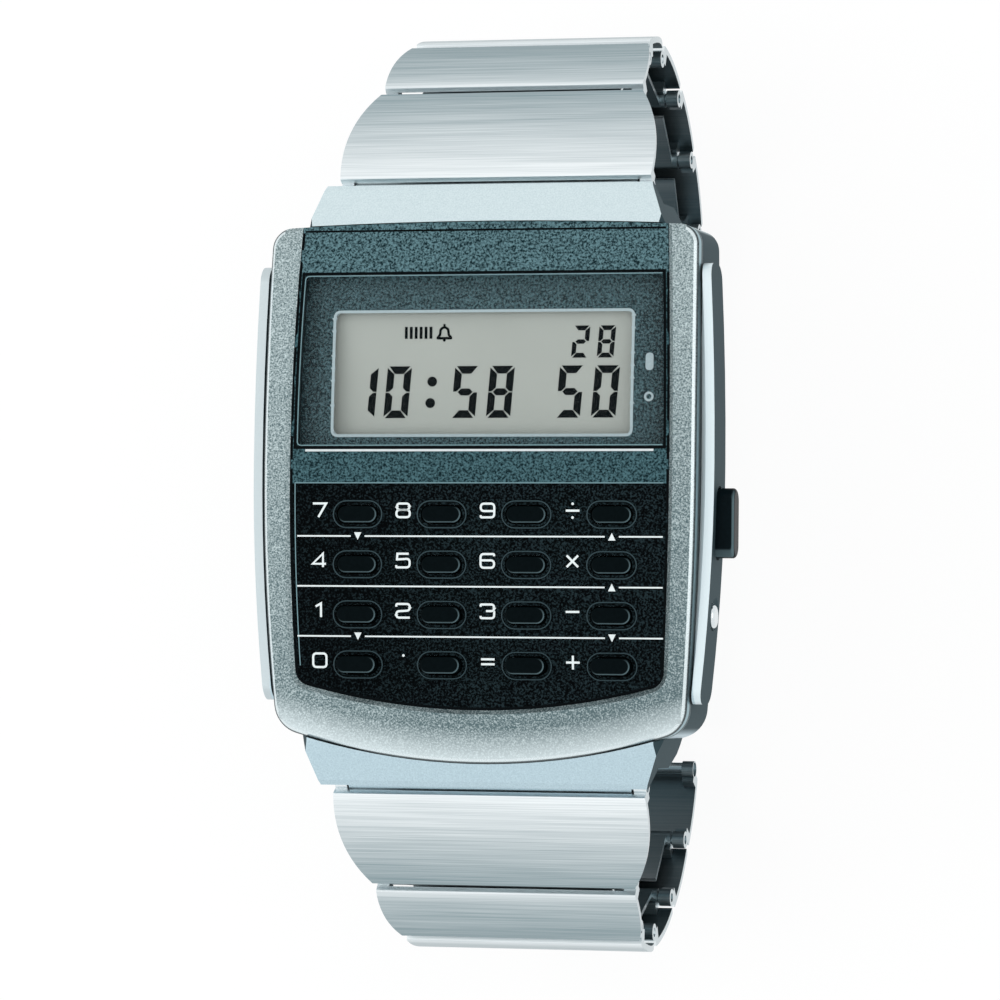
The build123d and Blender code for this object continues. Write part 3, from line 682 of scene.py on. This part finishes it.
nodeFinishes = {
    "case_body": "case", "front_bezel": "bezel", "face_panel": "panel", "display_window": "glass",
    "display_mask": "mask", "display_cell": "cell", "contact_ribs": "pad",
    "keypad_membrane": "pad", "circuit_board": "board", "board_components": "chip",
    "module_holder": "chip", "coin_cell": "polished", "battery_clip": "polished",
    "buzzer_disc": "brass", "buzzer_contact": "brass", "back_gasket": "rubber",
    "case_back": "case", "back_screws": "polished", "button_gaskets": "rubber",
    "switch_leaves": "brass", "lug_bars": "polished", "mode_button": "button",
    "adjust_button": "polished", "clasp_spring_bar": "polished", "clasp_arm_pin": "polished",
    "clasp_cover_pin": "polished", "catch_bar": "polished",
}
for name, piece in frame["nodes"].items():
    usual = "key" if name.startswith("key_") else "plate"
    piece.data.materials.clear()
    piece.data.materials.append(finishes[nodeFinishes.get(name, usual)])
print("finishes on", len(frame["nodes"]), "nodes")


def addPiece(name, mesh, body):
    piece = bpy.data.objects.new(name, mesh)
    bpy.context.scene.collection.objects.link(piece)
    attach(piece, body)


class Ink:  # thin raised shapes that lie on the arched dial, or flat on the display
    def __init__(self, sink, flat=False, height=None):
        self.mesh = bmesh.new()
        self.sink, self.flat = sink, flat
        self.height = dial["inkHeight"] if height is None else height

    def corner(self, x, y, top):
        ground = dialTop - self.sink if self.flat else surfaceHeight(y, self.sink)
        z = ground + (self.height if top else dial["inkLift"])
        return self.mesh.verts.new((x * mm, y * mm, z * mm))

    def wall(self, low, high, closed):
        count = len(low)
        for i in range(count if closed else count - 1):
            j = (i + 1) % count
            self.mesh.faces.new((low[i], low[j], high[j], high[i]))

    def plate(self, outline):
        low = [self.corner(x, y, False) for x, y in outline]
        high = [self.corner(x, y, True) for x, y in outline]
        self.mesh.faces.new(high)
        self.mesh.faces.new(low[::-1])
        self.wall(low, high, True)

    def stroke(self, path, width, closed=False):
        leftLow, leftHigh, rightLow, rightHigh = [
            [self.corner(x, y, top) for x, y in side]
            for side in edgesOf(path, width, closed) for top in (False, True)
        ]
        self.wall(rightLow, rightHigh, closed)
        self.wall(rightHigh, leftHigh, closed)
        self.wall(leftHigh, leftLow, closed)
        self.wall(leftLow, rightLow, closed)
        if not closed:
            self.mesh.faces.new((leftLow[0], leftHigh[0], rightHigh[0], rightLow[0]))
            self.mesh.faces.new((rightLow[-1], rightHigh[-1], leftHigh[-1], leftLow[-1]))

    def finished(self, name, finish):
        bmesh.ops.recalc_face_normals(self.mesh, faces=self.mesh.faces)
        mesh = bpy.data.meshes.new(name)
        self.mesh.to_mesh(mesh)
        self.mesh.free()
        mesh.materials.append(finishes[finish])
        addPiece(name, mesh, "head")


sharpestShare = 0.5  # stops the corners of a stroke from running far out


def edgesOf(path, width, closed):  # the left and right edge of a stroke along a path
    left, right = [], []
    count = len(path)
    for i, (x, y) in enumerate(path):
        before = path[i - 1] if i or closed else None
        after = path[(i + 1) % count] if i < count - 1 or closed else None
        runs = []
        if before:
            runs.append(Vector((x - before[0], y - before[1])).normalized())
        if after:
            runs.append(Vector((after[0] - x, after[1] - y)).normalized())
        run = sum(runs, Vector((0, 0))).normalized()
        across = Vector((-run.y, run.x))
        reach = width / 2 / max(sharpestShare, abs(run.dot(runs[0])))
        left.append((x + across.x * reach, y + across.y * reach))
        right.append((x - across.x * reach, y - across.y * reach))
    return left, right


def rounded(path, radius, closed=False, steps=5):  # corners become short curves
    count = len(path)
    smooth = []
    for i, point in enumerate(path):
        if not closed and i in (0, count - 1):
            smooth.append(point)
            continue
        here = Vector(point)
        back, on = Vector(path[i - 1]) - here, Vector(path[(i + 1) % count]) - here
        cut = min(radius, back.length / 2, on.length / 2)
        start, end = here + back.normalized() * cut, here + on.normalized() * cut
        for k in range(steps + 1):
            t = k / steps
            bend = start * (1 - t) ** 2 + here * 2 * t * (1 - t) + end * t ** 2
            smooth.append((bend.x, bend.y))
    return smooth


def circlePath(x, y, radius, steps=20):
    turns = [2 * math.pi * k / steps for k in range(steps)]
    return [(x + radius * math.cos(a), y + radius * math.sin(a)) for a in turns]


keypad = {
    "legendLeft": 2.88,
    "legendUp": 0.28,
    "lineUp": 0.23,
    "legendWidth": 1.0,
    "legendHeight": 0.98,
    "stroke": 0.155,
    "cornerRadius": 0.26,
    "lineLeft": 13.45,
    "lineRight": 13.62,
    "lineWidth": 0.11,
    "arrowWidth": 0.54,
    "arrowHeight": 0.54,
    "arrowRoom": 0.25,
    "dotShare": 0.62,
    "dotSteps": 12,
}
legends = ("789/", "456x", "123-", "0.=+")
# Strokes of each legend as shares of its width and height
strokeShares = {
    "0": [("ring", [(0, 0), (1, 0), (1, 1), (0, 1)])],
    "1": [("sharp", [(0.22, 0.78), (0.62, 1), (0.62, 0)])],
    "2": [("soft", [(0, 0.8), (0, 1), (1, 1), (1, 0.52), (0, 0.46), (0, 0), (1, 0)])],
    "3": [("soft", [(0, 0.84), (0, 1), (1, 1), (1, 0.52), (0.4, 0.52)]),
          ("soft", [(0.95, 0.52), (1, 0.5), (1, 0), (0, 0), (0, 0.16)])],
    "4": [("sharp", [(1, 0.24), (0, 0.24), (0.78, 1), (0.78, 0)])],
    "5": [("sharp", [(0.93, 1), (0.09, 1), (0.05, 0.5)]),
          ("soft", [(0.05, 0.58), (1, 0.64), (1, 0), (0, 0), (0, 0.16)])],
    "6": [("soft", [(1, 0.84), (1, 1), (0, 1), (0, 0), (1, 0), (1, 0.54), (0.06, 0.54)])],
    "7": [("sharp", [(0, 1), (1, 1), (0.42, 0)])],
    "8": [("ring", [(0.04, 0.54), (0.96, 0.54), (0.96, 1), (0.04, 1)]),
          ("ring", [(0, 0), (1, 0), (1, 0.54), (0, 0.54)])],
    "9": [("soft", [(0, 0.16), (0, 0), (1, 0), (1, 1), (0, 1), (0, 0.46), (0.94, 0.46)])],
    "x": [("sharp", [(0.08, 0.08), (0.92, 0.92)]), ("sharp", [(0.08, 0.92), (0.92, 0.08)])],
    "-": [("sharp", [(0, 0.5), (1, 0.5)])],
    "=": [("sharp", [(0, 0.68), (1, 0.68)]), ("sharp", [(0, 0.32), (1, 0.32)])],
    "+": [("sharp", [(0, 0.5), (1, 0.5)]), ("sharp", [(0.5, 0), (0.5, 1)])],
    "/": [("sharp", [(0, 0.5), (1, 0.5)])],
    ".": [],
}
dotShares = {"/": (0.0, 1.0), ".": (0.9,)}


def addLegend(ink, sign, x, y):
    width, height = keypad["legendWidth"], keypad["legendHeight"]
    left, low = x - width / 2, y - height / 2
    for kind, shares in strokeShares[sign]:
        path = [(left + a * width, low + b * height) for a, b in shares]
        if kind != "sharp":
            path = rounded(path, keypad["cornerRadius"], kind == "ring")
        ink.stroke(path, keypad["stroke"], kind == "ring")
    for share in dotShares.get(sign, ()):
        radius = keypad["stroke"] * keypad["dotShare"]
        ink.plate(circlePath(x, low + share * height, radius, keypad["dotSteps"]))


def keypadPrint():
    legendInk = Ink(dial["panelSink"])
    for row, signs in enumerate(legends):
        for column, sign in enumerate(signs):
            key = middleOf(f"key_{row + 1}_{column + 1}")
            addLegend(legendInk, sign, key.x - keypad["legendLeft"], key.y + keypad["legendUp"])
    legendInk.finished("keyLegends", "print")
    lineInk = Ink(dial["panelSink"])
    arrowInk = Ink(dial["panelSink"])
    columns = [middleOf(f"key_1_{column}").x for column in (1, 4)]
    arrows = (((0, -1), (1, 1)), ((1, 1),), ((0, -1), (1, -1)))
    for row, marks in enumerate(arrows):
        above, below = middleOf(f"key_{row + 1}_1").y, middleOf(f"key_{row + 2}_1").y
        y = (above + below) / 2 + keypad["lineUp"]
        start = -keypad["lineLeft"]
        for column, way in marks:
            x = columns[column]
            half, height = keypad["arrowWidth"] / 2, keypad["arrowHeight"] / 2
            lineInk.stroke([(start, y), (x - half - keypad["arrowRoom"], y)], keypad["lineWidth"])
            arrowInk.plate([(x - half, y - way * height), (x + half, y - way * height),
                            (x, y + way * height)][::way])
            start = x + half + keypad["arrowRoom"]
        lineInk.stroke([(start, y), (keypad["lineRight"], y)], keypad["lineWidth"])
    lineInk.finished("separatorLines", "print")
    arrowInk.finished("arrowMarks", "print")


keypadPrint()
print("keypad print done")

display = {
    "digitWidth": 1.8,
    "digitHeight": 3.74,
    "digitThick": 0.55,
    "smallWidth": 1.22,
    "smallHeight": 2.3,
    "smallThick": 0.34,
    "segmentGap": 0.035,
    "slant": 0.085,
    "digitLow": 4.82,
    "smallLow": 9.12,
    "timeX": (-9.3, -6.8, -1.75, 0.88, 6.04, 8.66),
    "smallX": (6.86, 8.76),
    "colonX": -4.28,
    "colonY": (5.9, 7.45),
    "colonRadius": 0.36,
    "bellX": -3.18,
    "bellY": 10.9,
    "bellSize": 1.08,
    "barX": -6.04,
    "barY": 10.98,
    "barCount": 6,
    "barPitch": 0.37,
    "barHeight": 0.86,
    "barThick": 0.21,
    "cornerShare": 0.16,
    "taperShare": 0.45,
    "time": "105850",
    "small": "28",
}
bellShape = {
    "outlineShares": ((-0.5, -0.3), (0.5, -0.3), (0.3, -0.08), (0.26, 0.3), (0, 0.46),
                      (-0.26, 0.3), (-0.3, -0.08)),
    "corner": 0.1,
    "stroke": 0.18,
    "dots": ((-0.43, 0.11), (0.58, 0.09)),  # height as a share of the bell, then radius
    "dotSteps": 12,
}
segmentSets = {
    "0": "abcdef", "1": "bc", "2": "abged", "5": "afgcd", "8": "abcdefg",
}


def segmentOutlines(w, h, t, g):  # bars of a digit by its width, height, thickness and gap
    m = h / 2
    corner = t * display["cornerShare"]
    taper = t * display["taperShare"]
    tip = t - taper + g
    top = [(corner + g, h), (w - corner - g, h), (w - t - g / 2, h - t), (t + g / 2, h - t)]
    side = [(0, m + g), (0, h - corner - g), (t - g / 2, h - t - g / 2),
            (t - g / 2, m + t / 2 + g), (taper, m + g)]
    middle = [(tip, m), (t + g, m + taper), (w - t - g, m + taper),
              (w - tip, m), (w - t - g, m - taper), (t + g, m - taper)]

    def flipX(points):
        return [(w - x, y) for x, y in points]

    def flipY(points):
        return [(x, h - y) for x, y in points]

    return {
        "a": top, "d": flipY(top), "g": middle, "f": side, "b": flipX(side),
        "e": flipY(side), "c": flipX(flipY(side)),
    }


def addDigit(ink, digit, x, low, width, height, thick):
    outlines = segmentOutlines(width, height, thick, display["segmentGap"])
    left, slant = x - width / 2, display["slant"]
    for letter in segmentSets[digit]:
        ink.plate([(left + a + b * slant, low + b) for a, b in outlines[letter]])


def displayPrint():
    sink = dial["cellSink"]
    digits = Ink(sink, flat=True)
    for digit, x in zip(display["time"], display["timeX"]):
        addDigit(digits, digit, x, display["digitLow"], display["digitWidth"],
                 display["digitHeight"], display["digitThick"])
    for y in display["colonY"]:
        x = display["colonX"] + (y - display["digitLow"]) * display["slant"]
        digits.plate(circlePath(x, y, display["colonRadius"]))
    digits.finished("timeDigits", "ink")
    small = Ink(sink, flat=True)
    for digit, x in zip(display["small"], display["smallX"]):
        addDigit(small, digit, x, display["smallLow"], display["smallWidth"],
                 display["smallHeight"], display["smallThick"])
    small.finished("smallDigits", "ink")
    bell = Ink(sink, flat=True)
    size, x, y = display["bellSize"], display["bellX"], display["bellY"]
    outline = [(x + a * size, y + b * size) for a, b in bellShape["outlineShares"]]
    bell.stroke(rounded(outline, bellShape["corner"], True), bellShape["stroke"], True)
    for share, radius in bellShape["dots"]:
        bell.plate(circlePath(x, y + share * size, radius, bellShape["dotSteps"]))
    bell.finished("alarmBell", "ink")


displayPrint()
print("display print done")


class GeometryTree(Builder):  # a Geometry Nodes tree with named inputs for its sizes
    def __init__(self, name, **sizes):
        super().__init__(bpy.data.node_groups.new(name, "GeometryNodeTree"))
        self.values, self.sizes = sizes, {}
        kinds = {int: "NodeSocketInt", float: "NodeSocketFloat", Vector: "NodeSocketVector"}
        add = self.tree.interface.new_socket
        for key, value in sizes.items():
            add(key, in_out="INPUT", socket_type=kinds[type(value)])
        add("Geometry", in_out="OUTPUT", socket_type="NodeSocketGeometry")
        entry = self.node("NodeGroupInput").socket.node
        for key in sizes:
            self.sizes[key] = Wire(self, entry.outputs[key])

    def moved(self, instances, place):  # made real first, so that each point can follow the dial
        whole = self.node("GeometryNodeRealizeInstances", sockets={0: instances})
        sockets = {"Geometry": whole, "Translation": place}
        return self.node("GeometryNodeTransform", sockets=sockets)

    def grown(self, name, geometry, finish, body, slot):
        whole = self.node("GeometryNodeRealizeInstances", sockets={0: geometry})
        whole = self.node("GeometryNodeSetMaterial", sockets={0: whole, 2: finishes[finish]})
        self.node("NodeGroupOutput", sockets={0: whole})
        holder = bpy.data.objects.new(name + "Tree", bpy.data.meshes.new(name + "Tree"))
        bpy.context.scene.collection.objects.link(holder)
        modifier = holder.modifiers.new(name, "NODES")
        modifier.node_group = self.tree
        for item in self.tree.interface.items_tree:
            if item.in_out == "INPUT":
                modifier[item.identifier] = self.values[item.name]
        shown = holder.evaluated_get(bpy.context.evaluated_depsgraph_get())
        mesh = bpy.data.meshes.new_from_object(shown)
        holder.modifiers.remove(modifier)
        bpy.data.objects.remove(holder)
        mesh.name = name
        addPiece(name, mesh, body)


keyRing = {
    "length": 3.62, "width": 1.92, "wire": 0.055, "sink": 0.24,
    "cornerShare": 0.499, "cornerSteps": 6, "wireSides": 6,
}


def keyRings():
    first, last = middleOf("key_4_1"), middleOf("key_1_4")
    tree = GeometryTree(
        "keyRings",
        spanX=(last.x - first.x) * mm, spanY=(last.y - first.y) * mm,
        centre=Vector(((first.x + last.x) / 2 * mm, (first.y + last.y) / 2 * mm, 0)),
        length=keyRing["length"] * mm, width=keyRing["width"] * mm,
        wire=keyRing["wire"] * mm, arch=(dial["radius"] - keyRing["sink"]) * mm,
        crown=(dialTop - dial["radius"]) * mm,
    )
    size = tree.sizes
    grid = tree.node("GeometryNodeMeshGrid", sockets={
        "Size X": size["spanX"], "Size Y": size["spanY"],
        "Vertices X": len(legends[0]), "Vertices Y": len(legends)})
    outline = tree.node("GeometryNodeCurvePrimitiveQuadrilateral", sockets={
        "Width": size["length"], "Height": size["width"]})
    outline = tree.node("GeometryNodeFilletCurve", {"mode": "POLY"}, {
        "Curve": outline, "Count": keyRing["cornerSteps"],
        "Radius": size["width"] * keyRing["cornerShare"]})
    wire = tree.node("GeometryNodeCurvePrimitiveCircle", sockets={
        "Resolution": keyRing["wireSides"], "Radius": size["wire"]})
    ring = tree.node("GeometryNodeCurveToMesh", sockets={
        "Curve": outline, "Profile Curve": wire})
    rings = tree.node("GeometryNodeInstanceOnPoints", sockets={"Points": grid, "Instance": ring})
    rings = tree.moved(rings, size["centre"])
    y = tree.parts(tree.node("GeometryNodeInputPosition"))[1]
    height = (size["arch"] * size["arch"] - y * y).root() + size["crown"]
    lift = tree.node("ShaderNodeCombineXYZ", sockets={2: height})
    rings = tree.node("GeometryNodeSetPosition", sockets={"Geometry": rings, "Offset": lift})
    tree.grown("keyRings", rings, "ring", "head", "panel_black")


keyRings()


def signalBars():
    middle = dialTop - dial["cellSink"] + dial["inkHeight"] / 2
    tree = GeometryTree(
        "signalBars", count=display["barCount"], pitch=display["barPitch"] * mm,
        start=Vector((display["barX"], display["barY"], middle)) * mm,
        size=Vector((display["barThick"], display["barHeight"], dial["inkHeight"])) * mm,
    )
    size = tree.sizes
    step = tree.node("ShaderNodeCombineXYZ", sockets={0: size["pitch"]})
    points = tree.node("GeometryNodeMeshLine", sockets={
        "Count": size["count"], "Start Location": size["start"], "Offset": step})
    bar = tree.node("GeometryNodeMeshCube", sockets={"Size": size["size"]})
    bars = tree.node("GeometryNodeInstanceOnPoints", sockets={"Points": points, "Instance": bar})
    tree.grown("signalBars", bars, "ink", "head", "display_grey")


signalBars()

pinHead = {
    "radius": 0.36, "dome": 0.1, "inset": 0.18, "segments": 20, "rings": 10,
    "halfWidths": {2: 9.75, 3: 8.95}, "otherHalfWidth": 8.5,
}


def pinHeads(link, halfWidth):
    tree = GeometryTree(
        link + "_heads", reach=(halfWidth - pinHead["inset"]) * mm,
        shape=Vector((pinHead["dome"], pinHead["radius"], pinHead["radius"])) * mm,
        centre=hingePlaces[link + "_hinge"],
    )
    size = tree.sizes
    start = tree.node("ShaderNodeCombineXYZ", sockets={0: size["reach"]})
    back = tree.node("ShaderNodeCombineXYZ", sockets={0: size["reach"] * -2.0})
    points = tree.node("GeometryNodeMeshLine", sockets={
        "Count": 2, "Start Location": start, "Offset": back})
    ball = tree.node("GeometryNodeMeshUVSphere", sockets={
        "Segments": pinHead["segments"], "Rings": pinHead["rings"], "Radius": 1.0})
    ball = tree.node("GeometryNodeTransform", sockets={"Geometry": ball, "Scale": size["shape"]})
    heads = tree.node("GeometryNodeInstanceOnPoints", sockets={"Points": points, "Instance": ball})
    heads = tree.moved(heads, size["centre"])
    tree.grown(link + "_pin_heads", heads, "polished", link, "polished_steel")


for side in ("12", "6"):
    for number in range(2, linkCount + 1):  # the first link's pin is a lug bar
        halfWidth = pinHead["halfWidths"].get(number, pinHead["otherHalfWidth"])
        pinHeads(f"link_{side}_{number}", halfWidth)
print("repeated pieces done")

opening = {  # the hole in the bezel, bowed at its sides and curved at 6 o'clock
    "half": 14.05, "widest": 1.5, "radiusHigh": 315.0, "radiusLow": 278.0,
    "top": 18.2, "cornerLow": 14.3, "bottom": 16.2, "corner": 1.2, "steps": 10,
}
window = {
    "low": 2.6, "high": 15.2, "inset": 0.35, "corner": 0.3,
    "gapWidth": 0.2, "gapHeight": 0.006,
    "edgeWidth": 0.07, "edgeHeight": 0.012, "edgeInset": 0.17,
    "headLine": 18.3, "headWidth": 0.14,
    "sillWidth": 0.16, "sillHeight": 0.06, "sillHalf": 12.9,
    "stripLine": 0.06, "stripWidth": 0.07,
    "viewX": -0.12, "viewY": 8.0, "viewWidth": 22.24, "viewHeight": 8.98, "viewCorner": 0.62,
    # width of the painted highlight round the display view
    "viewRimHighlight": 0.2,
    "markX": 12.24, "ovalY": 8.77, "ovalLength": 1.25, "ovalWidth": 0.58, "ovalSteps": 8,
    "ringY": 6.26, "ringRadius": 0.27, "ringStroke": 0.16,
}


def openingSide(y, inset):  # half the width of the opening at a height
    rise = y - opening["widest"]
    radius = opening["radiusHigh" if rise > 0 else "radiusLow"]
    return opening["half"] - inset - radius + math.sqrt(radius * radius - rise * rise)


def sidePath(low, high, inset, side):
    steps = opening["steps"]
    heights = [low + (high - low) * k / steps for k in range(steps + 1)]
    return [(side * openingSide(y, inset), y) for y in heights]


def footPath(inset):  # the curved lower edge, from left to right
    low = -opening["cornerLow"] + inset
    half = openingSide(low, inset)
    drop = opening["bottom"] - opening["cornerLow"]
    radius = (half * half + drop * drop) / (2 * drop)
    turn = math.asin(half / radius)
    count = 2 * opening["steps"]
    turns = [turn * (2 * k / count - 1) for k in range(1, count)]
    return [(radius * math.sin(a), low + radius * (math.cos(turn) - math.cos(a))) for a in turns]


def windowPath(inset):
    low, high = window["low"] + inset, window["high"] - inset
    inset += window["inset"]
    return sidePath(low, high, inset, 1) + sidePath(high, low, inset, -1)


def panelEdges():  # dark joints round the panel and the window, then the fine lit lines
    low, inset = -opening["cornerLow"], window["gapWidth"] / 2
    corner = (-openingSide(low + inset, inset), low + inset)
    left = sidePath(opening["top"], low + opening["corner"], inset, -1)
    turn = rounded([left[-1], corner, footPath(inset)[1]], opening["corner"])
    right = [(-x, y) for x, y in (left + turn)[::-1]]
    foot = [point for point in footPath(inset) if abs(point[0]) < abs(turn[-1][0])]
    gap = Ink(dial["panelSink"], height=window["gapHeight"])
    gap.stroke(left + turn[1:] + foot + right[:-1], window["gapWidth"])
    gap.stroke(windowPath(0.0), window["gapWidth"], True)
    head = window["headLine"]
    half = openingSide(head, 2 * inset)
    gap.stroke([(-half, head), (half, head)], window["headWidth"])
    gap.finished("panelGaps", "gap")
    edge = Ink(dial["panelSink"], height=window["edgeHeight"])
    inset = window["edgeInset"]
    around = windowPath(inset)
    count = opening["steps"] + 1
    frameLine = around[count - 1:] + around[:1]
    edge.stroke(rounded(frameLine, window["corner"]), window["edgeWidth"])
    strip = openingSide(0, 2 * window["gapWidth"])
    y = window["stripLine"]
    edge.stroke([(-strip, y), (strip, y)], window["stripWidth"])
    border = sidePath(low + opening["corner"], y, 2 * window["gapWidth"], -1)
    edge.stroke(border, window["edgeWidth"])
    edge.finished("panelLines", "line")


def windowTrim():
    sill = Ink(dial["panelSink"], height=window["sillHeight"])
    y, half = window["low"] - window["gapWidth"], window["sillHalf"]
    sill.stroke([(-half, y), (half, y)], window["sillWidth"])
    sill.finished("windowSill", "polished")
    marks = Ink(dial["maskSink"])
    x, y = window["markX"], window["ovalY"]
    halfX, halfY = window["ovalWidth"] / 2, window["ovalLength"] / 2
    oval = [(x - halfX, y - halfY), (x + halfX, y - halfY),
            (x + halfX, y + halfY), (x - halfX, y + halfY)]
    marks.plate(rounded(oval, halfX, True, window["ovalSteps"]))
    marks.stroke(circlePath(x, window["ringY"], window["ringRadius"]), window["ringStroke"], True)
    halfX, halfY = window["viewWidth"] / 2, window["viewHeight"] / 2
    x, y, steps = window["viewX"], window["viewY"], opening["steps"]
    heights = [y - halfY + 2 * halfY * k / steps for k in range(steps + 1)]
    around = [(x + halfX, h) for h in heights] + [(x - halfX, h) for h in heights[::-1]]
    # a painted highlight: a pale rim round the display view
    marks.stroke(rounded(around, window["viewCorner"], True), window["viewRimHighlight"], True)
    marks.finished("displayMarks", "mark")


panelEdges()
windowTrim()
print("panel and window trim done")

view = {
    "yaw": 15.0, "pitch": -2.0, "roll": 0.6, "distance": 380.0, "lens": 191.5,
    "aimX": 1.68, "aimY": -1.18, "near": 10.0, "far": 20000.0,
}


def addCamera():
    yaw, pitch = math.radians(view["yaw"]), math.radians(view["pitch"])
    level = math.cos(pitch)
    back = Vector((math.sin(yaw) * level, math.sin(pitch), math.cos(yaw) * level))
    up = Vector((0, 1, 0)) - back * back.y
    up.normalize()
    up = Matrix.Rotation(math.radians(view["roll"]), 3, back) @ up
    right = up.cross(back)
    centre = Vector((0, 0, dialTop)) + right * view["aimX"] + up * view["aimY"]
    camera = bpy.data.objects.new("camera", bpy.data.cameras.new("camera"))
    camera.data.lens = view["lens"]
    camera.data.clip_start, camera.data.clip_end = view["near"] * mm, view["far"] * mm
    place = Matrix((right, up, back)).transposed().to_4x4()
    place.translation = (centre + back * view["distance"]) * mm
    camera.matrix_world = place
    bpy.context.scene.collection.objects.link(camera)
    bpy.context.scene.camera = camera


light = {
    "skyTop": 1.2, "skyLow": 0.36, "skyBase": 0.08, "skyRise": 1.2, "skyLean": 0.2,
    "lamps": (
        ("keyLamp", (-330, -40, 300), 260, 0.4),
        ("fillLamp", (330, 60, 260), 280, 0.2),
    ),
    "floorSize": 6000, "floorTone": (246, 247, 247), "floorGlow": 0.9,
}


def addLight():
    world = bpy.data.worlds.new("studio")
    bpy.context.scene.world = world
    world.use_nodes = True
    sky = Builder(world.node_tree)
    sky.tree.nodes.clear()
    direction = sky.node("ShaderNodeTexCoord", out="Generated")
    _, lean, up = sky.parts(direction)
    height = (up * light["skyRise"] + lean * light["skyLean"] + light["skyBase"]).clamped()
    grey = height * (light["skyTop"] - light["skyLow"]) + light["skyLow"]
    seen = backdropSeen(sky)
    white = {"Color": (1.0, 1.0, 1.0), "Strength": seen + (1 - seen) * grey}
    shade = sky.node("ShaderNodeBackground", sockets=white)
    sky.node("ShaderNodeOutputWorld", sockets={"Surface": shade})
    for name, place, size, power in light["lamps"]:
        lamp = bpy.data.objects.new(name, bpy.data.lights.new(name, "AREA"))
        lamp.data.size, lamp.data.energy = size * mm, power
        lamp.location = Vector(place) * mm
        aim = Vector((0, 0, dialTop)) * mm - lamp.location
        lamp.rotation_euler = aim.to_track_quat("-Z", "Y").to_euler()
        bpy.context.scene.collection.objects.link(lamp)


def addFloor():
    bpy.ops.mesh.primitive_plane_add(size=light["floorSize"] * mm)
    floor = bpy.context.object
    floor.name = "floor"
    finish = Finish("floor")
    tone = tonesOf(light, "floorTone")[0]
    base = finish.node("ShaderNodeBsdfDiffuse", sockets={"Color": tone})
    white = {"Color": (1.0, 1.0, 1.0), "Strength": 1.0}
    glow = finish.node("ShaderNodeEmission", sockets=white)
    share = backdropSeen(finish) * light["floorGlow"]
    both = finish.node("ShaderNodeMixShader", sockets={0: share, 1: base, 2: glow})
    finish.node("ShaderNodeOutputMaterial", sockets={"Surface": both})
    floor.data.materials.append(finish.material)


addCamera()
addLight()
addFloor()
print("camera, light and floor done")
bpy.context.scene.view_settings.view_transform = "Standard"
